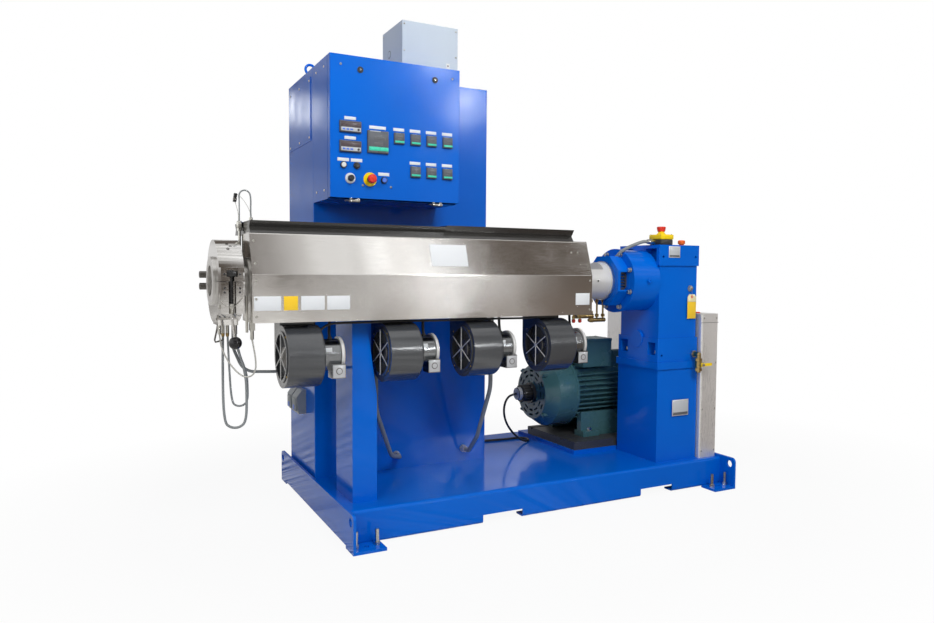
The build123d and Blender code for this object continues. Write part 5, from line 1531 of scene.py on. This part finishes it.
@dataclass
class Skid:
    """Guard seams, drain and water fittings, conduit nuts and blower cables. Sizes are in millimetres."""

    guard_left: float = 893.0
    guard_right: float = 1008.0
    guard_front: float = -470.0
    guard_top: float = 895.0
    drain_x: float = 855.0
    gear_front: float = -445.0
    pipe_y: float = -290.0
    manifold_z: float = 868.0
    stand_pipes: tuple = (358.0, 395.0)
    nipple_y: float = -440.0
    nipples: tuple = (110.0, 146.0)
    run_y: float = -442.0
    cabinet_glands: tuple = ((-600.0, 215.0), (-235.0, 209.0))
    hood_glands: tuple = (-811.0, -240.0)

    def guard(self, shape: Shape) -> None:
        """Lid seam and screws of the belt guard."""
        shape.box(mm(self.guard_left - 1.5, self.guard_front - 1.5, self.guard_top - 46),
                  mm(self.guard_right + 1.5, self.guard_front + 6, self.guard_top - 44), DARK_STEEL, 0.0004)
        for z in (self.guard_top - 22, 640, 400, 180):
            for x in (self.guard_left + 14, self.guard_right - 14):
                shape.pan_screw(mm(x, self.guard_front, z), FRONT, 0.005, ZINC)
        shape.revolve(mm(950, -380, self.guard_top), UP, GUARD_PLUG, RED, 24)

    def drain(self, shape: Shape) -> None:
        """Hex nuts and the lever's nut of the drain valve."""
        front = self.gear_front - 44
        for z, high in ((606, 0.014), (658, 0.012)):
            shape.nut(mm(self.drain_x, front, z), UP, 0.0185, high, BRASS)
        shape.nut(mm(self.drain_x, self.gear_front, 690), FRONT, 0.0195, 0.014, ZINC)
        shape.revolve(mm(self.drain_x, self.gear_front - 77, 640), FRONT, LEVER_NUT, ZINC, 6)

    def water(self, shape: Shape) -> None:
        """Brass nuts on the throat's water pipes, and capped nipples."""
        low, high = box_mm("cooling_water_pipes")
        for x in (low.x + 40, low.x + 90):
            shape.nut(mm(x, self.pipe_y, high.z - 16), UP, 0.011, 0.015, BRASS)
            shape.nut(mm(x, self.pipe_y, low.z + 24), UP, 0.0125, 0.012, BRASS)
        for x in self.stand_pipes:
            shape.rod(mm(x, self.pipe_y, 866), mm(x, self.pipe_y, 974), 0.0048, BRASS, sides=16)
            shape.nut(mm(x, self.pipe_y, 884), UP, 0.0105, 0.014, BRASS)
            shape.nut(mm(x, self.pipe_y, 958), UP, 0.0095, 0.012, BRASS)
        shape.rod(mm(330, self.pipe_y, self.manifold_z), mm(408, self.pipe_y, self.manifold_z), 0.0105,
                  BRASS, 0.002)
        shape.revolve(mm(334, self.pipe_y, self.manifold_z), LEFT, MANIFOLD_END, BRASS, 8)
        for x in self.nipples:
            shape.rod(mm(x, self.nipple_y, 884), mm(x, self.nipple_y, 911), 0.0050, BRASS, sides=16)
            shape.nut(mm(x, self.nipple_y, 889), UP, 0.0088, 0.011, BRASS)
            shape.revolve(mm(x, self.nipple_y, 886), DOWN, NIPPLE_CAP, RED, 16)

    def conduits(self, shape: Shape) -> None:
        """Nuts where the conduits enter the cabinet and leave the hood."""
        for x, z in self.cabinet_glands:
            shape.revolve(mm(x, 28, z), FRONT, CABINET_GLAND, ZINC, 8)
        for x in self.hood_glands:
            shape.revolve(mm(x, -270, 912), DOWN, HOOD_GLAND, ZINC, 8)

    def cables(self, shape: Shape) -> None:
        """The blower cable under the hood and its drops to the blowers."""
        run = [mm(-1112, -452, 868), mm(-1092, -452, 886), mm(-1060, -448, 897), mm(-1000, -444, 899),
               mm(-880, self.run_y, 898), mm(-700, self.run_y, 899), mm(-520, self.run_y, 898),
               mm(-300, self.run_y, 899), mm(-130, self.run_y, 899), mm(-70, -436, 912)]
        shape.tube(smooth_line(run, 8), 0.0048, CABLE_BLACK, 10)
        for left in Blowers().lefts:
            x = left + 205
            line = [mm(x - 12, -420, 836), mm(x - 12, -412, 862), mm(x - 8, -402, 890), mm(x - 4, -395, 914)]
            shape.tube(smooth_line(line, 8), 0.0060, CABLE_BLACK, 10)
            shape.rod(mm(x - 12, -421, 826), mm(x - 12, -419, 842), 0.0090, BLACK, 0.001)

    def build(self) -> None:
        """Dress the skid and its pipework."""
        shape = Shape()
        self.guard(shape)
        self.drain(shape)
        self.water(shape)
        self.conduits(shape)
        self.cables(shape)
        shape.build("skid_trim", Body.SKID, "zinc_steel")


ASSEMBLIES: tuple = (ControlDoor(), Blowers(), Gearbox(), Hood(), DieEnd(), Motor(), Cabinet(),
                     PanelInside(), Skid())


# Camera, light and floor

@dataclass
class Studio:
    """The camera that took the photograph, a white room and soft light.

    The windows' places are azimuths in degrees from -Y, and the bulbs are directions.
    """

    lens: float = 28.47
    sensor: float = 36.0
    place: Point = (-1.918622, -3.296264, 1.106274)
    yaw: float = 27.158
    pitch: float = 3.082
    roll: float = -0.319
    floor_size: float = 60.0
    pool: tuple[float, float] = (2.0, 1.5)
    ambient: float = 0.15
    window: float = 24.0
    second: float = 50.0
    bulbs: tuple[Point, ...] = ((0.4438, -0.8696, 0.2168), (0.4007, -0.8748, 0.2723))

    def camera(self) -> None:
        """Set up the recovered camera."""
        yaw, pitch, roll = (math.radians(angle) for angle in (self.yaw, self.pitch, self.roll))
        ahead = Vector((math.sin(yaw) * math.cos(pitch), math.cos(yaw) * math.cos(pitch), -math.sin(pitch)))
        right = Vector((math.cos(yaw), -math.sin(yaw), 0))
        up = right.cross(ahead)
        across = right * math.cos(roll) - up * math.sin(roll)
        upright = right * math.sin(roll) + up * math.cos(roll)
        data = bpy.data.cameras.new("Camera")
        data.lens = self.lens
        data.sensor_width = self.sensor
        data.sensor_fit = "HORIZONTAL"
        data.clip_end = 100.0
        made = bpy.data.objects.new("Camera", data)
        turn = Matrix((across, upright, -ahead)).transposed().to_4x4()
        made.matrix_world = Matrix.Translation(self.place) @ turn
        bpy.context.scene.collection.objects.link(made)
        bpy.context.scene.camera = made

    def lamp(self, name: str, place: Point, aim: Point, size: tuple[float, float], power: float) -> None:
        """A soft rectangular lamp.

        Args:
            name: Its name.
            place: Where it hangs.
            aim: What it points at.
            size: Its width and height.
            power: Its power in watts.
        """
        data = bpy.data.lights.new(name, "AREA")
        data.shape = "RECTANGLE"
        data.size, data.size_y = size
        data.energy = power
        made = bpy.data.objects.new(name, data)
        made.matrix_world = axis_matrix(place, Vector(place) - Vector(aim))
        made.visible_glossy = False
        bpy.context.scene.collection.objects.link(made)

    def mirrored_room(self, graph: Graph) -> bpy.types.NodeSocket:
        """What glossy surfaces show of the room.

        Args:
            graph: The world's nodes.
        Returns:
            A colour: two windows, rows of ceiling lights, a pale left wall, racks, a skylight and two bulbs.
        """
        toward = graph.add("TexCoord").outputs["Generated"]
        x, y, z = graph.add("SeparateXYZ", {0: toward}).outputs
        azimuth = graph.math("ARCTAN2", x, graph.math("MULTIPLY", y, -1.0))
        window = graph.ramp(graph.gap(azimuth, math.radians(self.window)), 0.03, 0.20, 1.0, 0.0)
        second = graph.ramp(graph.gap(azimuth, math.radians(self.second)), 0.03, 0.12, 0.8, 0.0)
        both = graph.math("MAXIMUM", window, second)
        windows = graph.math("MULTIPLY", both, graph.ramp(z, 0.0, 0.4, 0.95, 1.45))
        rows = graph.ramp(graph.stripes(z, 5.0, 1.0), 0.48, 0.54)
        ceiling = graph.math("MULTIPLY", rows, graph.ramp(z, 0.05, 0.3, 0.0, 1.1))
        left_wall = graph.ramp(x, -0.30, -0.80, 0.0, 1.5)
        lit = graph.math("MAXIMUM", graph.math("MAXIMUM", windows, ceiling), left_wall)
        streaks = graph.ramp(graph.stripes(azimuth, 9.0, 3.0), 0.36, 0.64, 0.5, 1.4)
        lit = graph.math("MULTIPLY", lit, streaks)
        tiers = graph.ramp(graph.stripes(z, 15.0, 2.0), 0.40, 0.62, 0.10, 0.8)
        racks = graph.math("MULTIPLY", graph.ramp(y, 0.55, 0.9), tiers)
        lit = graph.math("MAXIMUM", lit, graph.math("MULTIPLY", racks, graph.ramp(x, 0.1, -0.1)))
        skylight = graph.ramp(graph.gap(z, 0.205), 0.012, 0.024, 5.0, 0.0)
        for edge in (graph.ramp(x, -0.272, -0.258), graph.ramp(x, -0.19, -0.21), graph.ramp(y, 0.5, 0.6)):
            skylight = graph.math("MULTIPLY", skylight, edge)
        lit = graph.math("MAXIMUM", lit, skylight)
        for bulb in self.bulbs:
            near = graph.add("VectorMath", {0: toward, 1: bulb}, operation="DOT_PRODUCT").outputs["Value"]
            lit = graph.math("MAXIMUM", lit, graph.ramp(near, 0.99960, 0.99985, 0.0, 60.0))
        return graph.mix(lit, (0.13, 0.108, 0.092, 1), (1.0, 1.0, 1.0, 1))

    def world(self) -> None:
        """A room that is white to the eye, lights softly and has its own picture in glossy surfaces."""
        world = bpy.data.worlds.new("Room")
        world.use_nodes = True
        bpy.context.scene.world = world
        tree = world.node_tree
        tree.nodes.clear()
        graph = Graph(tree)
        path = graph.add("LightPath")
        seen = graph.math("MAXIMUM", path.outputs["Is Camera Ray"], path.outputs["Is Transmission Ray"])
        soft = graph.add("Background", {"Color": (0.95, 0.97, 1.0, 1), "Strength": self.ambient})
        white = graph.add("Background", {"Color": (1, 1, 1, 1), "Strength": 1.0})
        room = graph.add("Background", {"Color": self.mirrored_room(graph), "Strength": 1.0})
        glossy = graph.add("MixShader", {0: path.outputs["Is Glossy Ray"], 1: soft.outputs[0],
                                         2: room.outputs[0]})
        final = graph.add("MixShader", {0: seen, 1: glossy.outputs[0], 2: white.outputs[0]})
        graph.add("OutputWorld", {"Surface": final.outputs[0]})

    def floor(self) -> None:
        """A white floor that keeps a faint shadow. Glossy surfaces see a painted reflection of it instead: a
        glow with light and dark stripes, the seams, darker and browner towards the front right.
        """
        reach = self.floor_size / 2
        data = bpy.data.meshes.new("Floor")
        data.from_pydata([(-reach, -reach, 0), (reach, -reach, 0), (reach, reach, 0), (-reach, reach, 0)], [],
                         [(0, 1, 2, 3)])
        made = bpy.data.objects.new("Floor", data)
        material = bpy.data.materials.new("floor_white")
        material.use_nodes = True
        tree = material.node_tree
        shader = tree.nodes["Principled BSDF"]
        shader.inputs["Base Color"].default_value = (0.62, 0.62, 0.62, 1)
        shader.inputs["Roughness"].default_value = 0.9
        graph = Graph(tree)
        path = graph.add("LightPath")
        glow = graph.add("Emission", {"Color": (1, 1, 1, 1), "Strength": 1.0})
        spot = graph.add("SeparateXYZ", {0: graph.add("NewGeometry").outputs["Position"]})
        across = graph.math("POWER", graph.math("DIVIDE", spot.outputs[0], self.pool[0]), 2.0)
        along = graph.math("POWER", graph.math("DIVIDE", spot.outputs[1], self.pool[1]), 2.0)
        away = graph.ramp(graph.math("SQRT", graph.math("ADD", across, along), 0.0), 0.6, 1.5, 0.90, 1.0)
        white = graph.math("MAXIMUM", away, 0.93)
        share = graph.math("MULTIPLY", path.outputs["Is Camera Ray"], white)
        # Painted reflection: glossy surfaces see a glow with stripes (the seams) and a darker brown front
        # right, not the lit floor.
        slant = graph.math("DIVIDE", spot.outputs[0], graph.math("MULTIPLY", spot.outputs[1], -1.0))
        front = graph.ramp(spot.outputs[1], -0.2, 0.2, 1.0, 0.0)
        painted_reflection_far_shade = graph.math("MULTIPLY", graph.ramp(slant, 0.25, 0.62), front)
        seams = graph.ramp(graph.stripes(slant, 12.0, 2.0), 0.42, 0.58)
        pale = graph.mix(seams, (0.18, 0.165, 0.15, 1), (1.25, 1.24, 1.22, 1))
        painted_reflection_tint = graph.mix(painted_reflection_far_shade, pale, (0.20, 0.16, 0.135, 1))
        painted_floor_reflection = graph.add("Emission", {"Color": painted_reflection_tint, "Strength": 1.0})
        lit = graph.add("MixShader", {0: path.outputs["Is Glossy Ray"], 1: shader.outputs[0],
                                      2: painted_floor_reflection.outputs[0]})
        both = graph.add("MixShader", {0: share, 1: lit.outputs[0], 2: glow.outputs[0]})
        tree.links.new(both.outputs[0], tree.nodes["Material Output"].inputs["Surface"])
        data.materials.append(material)
        bpy.context.scene.collection.objects.link(made)

    def build(self) -> None:
        """Set up everything round the machine."""
        scene = bpy.context.scene
        scene.view_settings.view_transform = "Standard"
        self.camera()
        self.world()
        self.floor()
        self.lamp("Key", (-0.4, -4.2, 4.2), (-0.7, 0.0, 1.8), (1.9, 1.9), 160.0)
        self.lamp("Right", (2.6, -4.4, 3.0), (0.6, -0.2, 0.8), (1.8, 1.8), 14.0)
        self.lamp("Left", (-4.6, -3.4, 3.4), (-0.6, -0.2, 1.0), (2.6, 2.6), 100.0)
        self.lamp("Overhead", (0.2, -0.6, 5.2), (0.1, 0.0, 0.6), (3.6, 2.4), 50.0)
        self.lamp("Back", (1.0, 4.6, 3.4), (0.0, 0.2, 1.0), (3.6, 2.4), 60.0)


# Everything together

PLAIN: dict[str, tuple[Finish, float]] = {
    "side_channels": (BLUE, 0.004), "deck_plate": (BLUE, 0.003), "end_plates": (BLUE, 0.0025),
    "foot_plates": (BLUE, 0.002), "jack_bolts": (ZINC, 0.0008), "barrel_post": (BLUE, 0.003),
    "drive_post": (BLUE, 0.003), "gearbox_housing": (BLUE, 0.003), "thrust_housing": (BLUE, 0.002),
    "lantern_grilles": (DARK_GREY, 0.001), "feed_throat": (SATIN, 0.0015),
    "throat_collar": (MACHINED, 0.001), "screw": (MACHINED, 0.0), "barrel": (MACHINED, 0.001),
    "heater_zones": (JACKET, 0.001), "blower_housings": (DARK_GREY, 0.0025),
    "blower_inlet_guards": (CABLE_BLACK, 0.0), "blower_motors": (MOTOR_STEEL, 0.0015),
    "die_clamp_upper": (POLISHED, 0.002), "die_clamp_lower": (POLISHED, 0.002),
    "clamp_bolts": (DARK_STEEL, 0.001), "die_adapter": (MACHINED, 0.001), "clamp_lever": (BLACK, 0.0),
    "hood_front_cover": (STAINLESS, 0.0), "hood_back_cover": (STAINLESS, 0.0),
    "hood_end_plates": (STAINLESS, 0.0), "hood_vent_caps": (CAP_BLACK, 0.001), "cabinet": (BLUE, 0.003),
    "panel_box": (BLUE, 0.002), "control_door": (BLUE, 0.003), "door_hinge_leaves": (ZINC, 0.0008),
    "door_hinge_knuckles": (ZINC, 0.0008), "digital_meters": (INSTRUMENT, 0.001),
    "temperature_controllers": (INSTRUMENT, 0.001), "door_controls": (BLACK, 0.001),
    "door_stop_button": (RED, 0.001), "resistor_box": (BOX_GREY, 0.001),
    "side_access_panel": (BLUE, 0.001), "socket_outlets": (SOCKET_GREY, 0.002),
    "lifting_eyes": (BLUE, 0.001), "motor_pad": (BLUE, 0.002), "motor_slide_rails": (RAIL_BLACK, 0.002),
    "motor_frame": (MOTOR_GREEN, 0.001), "motor_end_bell": (MOTOR_GREEN, 0.003),
    "motor_encoder": (BLACK, 0.001), "motor_terminal_box": (MOTOR_GREEN, 0.003),
    "belt_guard": (GUARD_STEEL, 0.003), "stop_station": (YELLOW, 0.002), "oil_plugs": (ORANGE, 0.001),
    "drain_valve": (BRASS, 0.001), "drain_valve_lever": (YELLOW, 0.001),
    "cooling_water_pipes": (BRASS, 0.0), "melt_sensor": (ZINC, 0.0005), "lead_fittings": (ZINC, 0.0006),
    "heater_conduits": (CABLE_GREY, 0.0)}


@dataclass(frozen=True)
class Lead:
    """One free lead: its line, its size and how it hangs."""

    node: str
    points: tuple[Point, ...]
    diameter: float
    length: float
    finish: Finish
    far_end: str = "object"
    stiffness: str = "limp"
    lay: str = "hanging"

    def build(self) -> bpy.types.Object:
        """Returns:
            The curve object.
        """
        name = self.node + "_jacket"
        data = bpy.data.curves.new(name, "CURVE")
        data.dimensions = "3D"
        data.bevel_depth = self.diameter / 2
        data.bevel_resolution = 4
        data.resolution_u = 10
        data.use_fill_caps = True
        line = data.splines.new("NURBS")
        line.points.add(len(self.points) - 1)
        for spot, point in zip(self.points, line.points):
            point.co = (*(value / 1000 for value in spot), 1)
        line.order_u = 3
        line.use_endpoint_u = True
        data.materials.append(self.finish.material())
        made = bpy.data.objects.new(name, data)
        bpy.context.scene.collection.objects.link(made)
        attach(made, Body.SKID.value)
        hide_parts(self.node)
        return made


LEADS: tuple[Lead, ...] = (
    Lead("sensor_cable_long", (
        (-1455, -310, 860), (-1460, -320, 690), (-1458, -331, 516.4), (-1434.6, -340, 493),
        (-1401.4, -348, 493), (-1378, -354, 516.4), (-1375, -356, 610), (-1378, -354, 708),
        (-1411, -347, 815), (-1414, -346, 860)),
        0.010, 0.7885, CABLE_GREY),
    Lead("sensor_cable_short", (
        (-1438, -310, 860), (-1434, -314, 730), (-1427, -320, 591.6), (-1409.4, -323, 574),
        (-1384.6, -326, 574), (-1367, -328, 591.6), (-1366, -329, 640), (-1369, -328, 708),
        (-1411, -321, 815), (-1414, -320, 860)),
        0.008, 0.6153, CABLE_GREY),
    Lead("thermocouple_lead", (
        (-1472, -338, 860), (-1470, -340, 826), (-1460, -349, 790), (-1444, -362, 755), (-1424, -376, 725),
        (-1402, -392, 703), (-1381, -408, 697), (-1364, -422, 706), (-1355, -432, 728), (-1355, -437, 760),
        (-1361, -439, 803), (-1369, -440, 845)), 0.006, 0.3793, CABLE_PALE),
    Lead("melt_sensor_lead", (
        (-1384.5, -290, 1390), (-1385, -290, 1400), (-1382, -290, 1411.3), (-1373.8, -290, 1419.5),
        (-1363, -290, 1422.5), (-1352.2, -290, 1419.5), (-1344, -290, 1411.3), (-1341, -290, 1400),
        (-1339.5, -290, 1378), (-1341, -290, 1346), (-1340, -290, 1316)), 0.006, 0.1618, CABLE_GREY),
    Lead("encoder_cable", (
        (159, 154, 440), (122, 154, 437), (95, 156, 412), (84, 160, 372), (88, 166, 330), (104, 174, 288),
        (130, 184, 250), (164, 196, 214), (202, 208, 184), (236, 218, 163), (262, 225, 154),
        (284, 234, 151.3), (302, 252, 151.3), (309, 277, 151.3), (302, 302, 151.3), (282, 319, 151.3),
        (254, 325, 151.3), (215, 324, 151.3), (160, 328, 151.3), (95, 334, 151.3), (30, 338, 151.3),
        (-35, 341, 154), (-92, 342, 160)), 0.012, 0.9186, CABLE_BLACK, lay="loose"))


def main() -> None:
    """Build the looks."""
    logging.basicConfig(level=logging.INFO, format="%(name)s: %(message)s")
    Studio().build()
    for node, (finish, bevel) in PLAIN.items():
        dress(node, finish, bevel)
    for lead in LEADS:
        lead.build()
    for assembly in ASSEMBLIES:
        assembly.build()


if __name__ == "__main__":
    main()
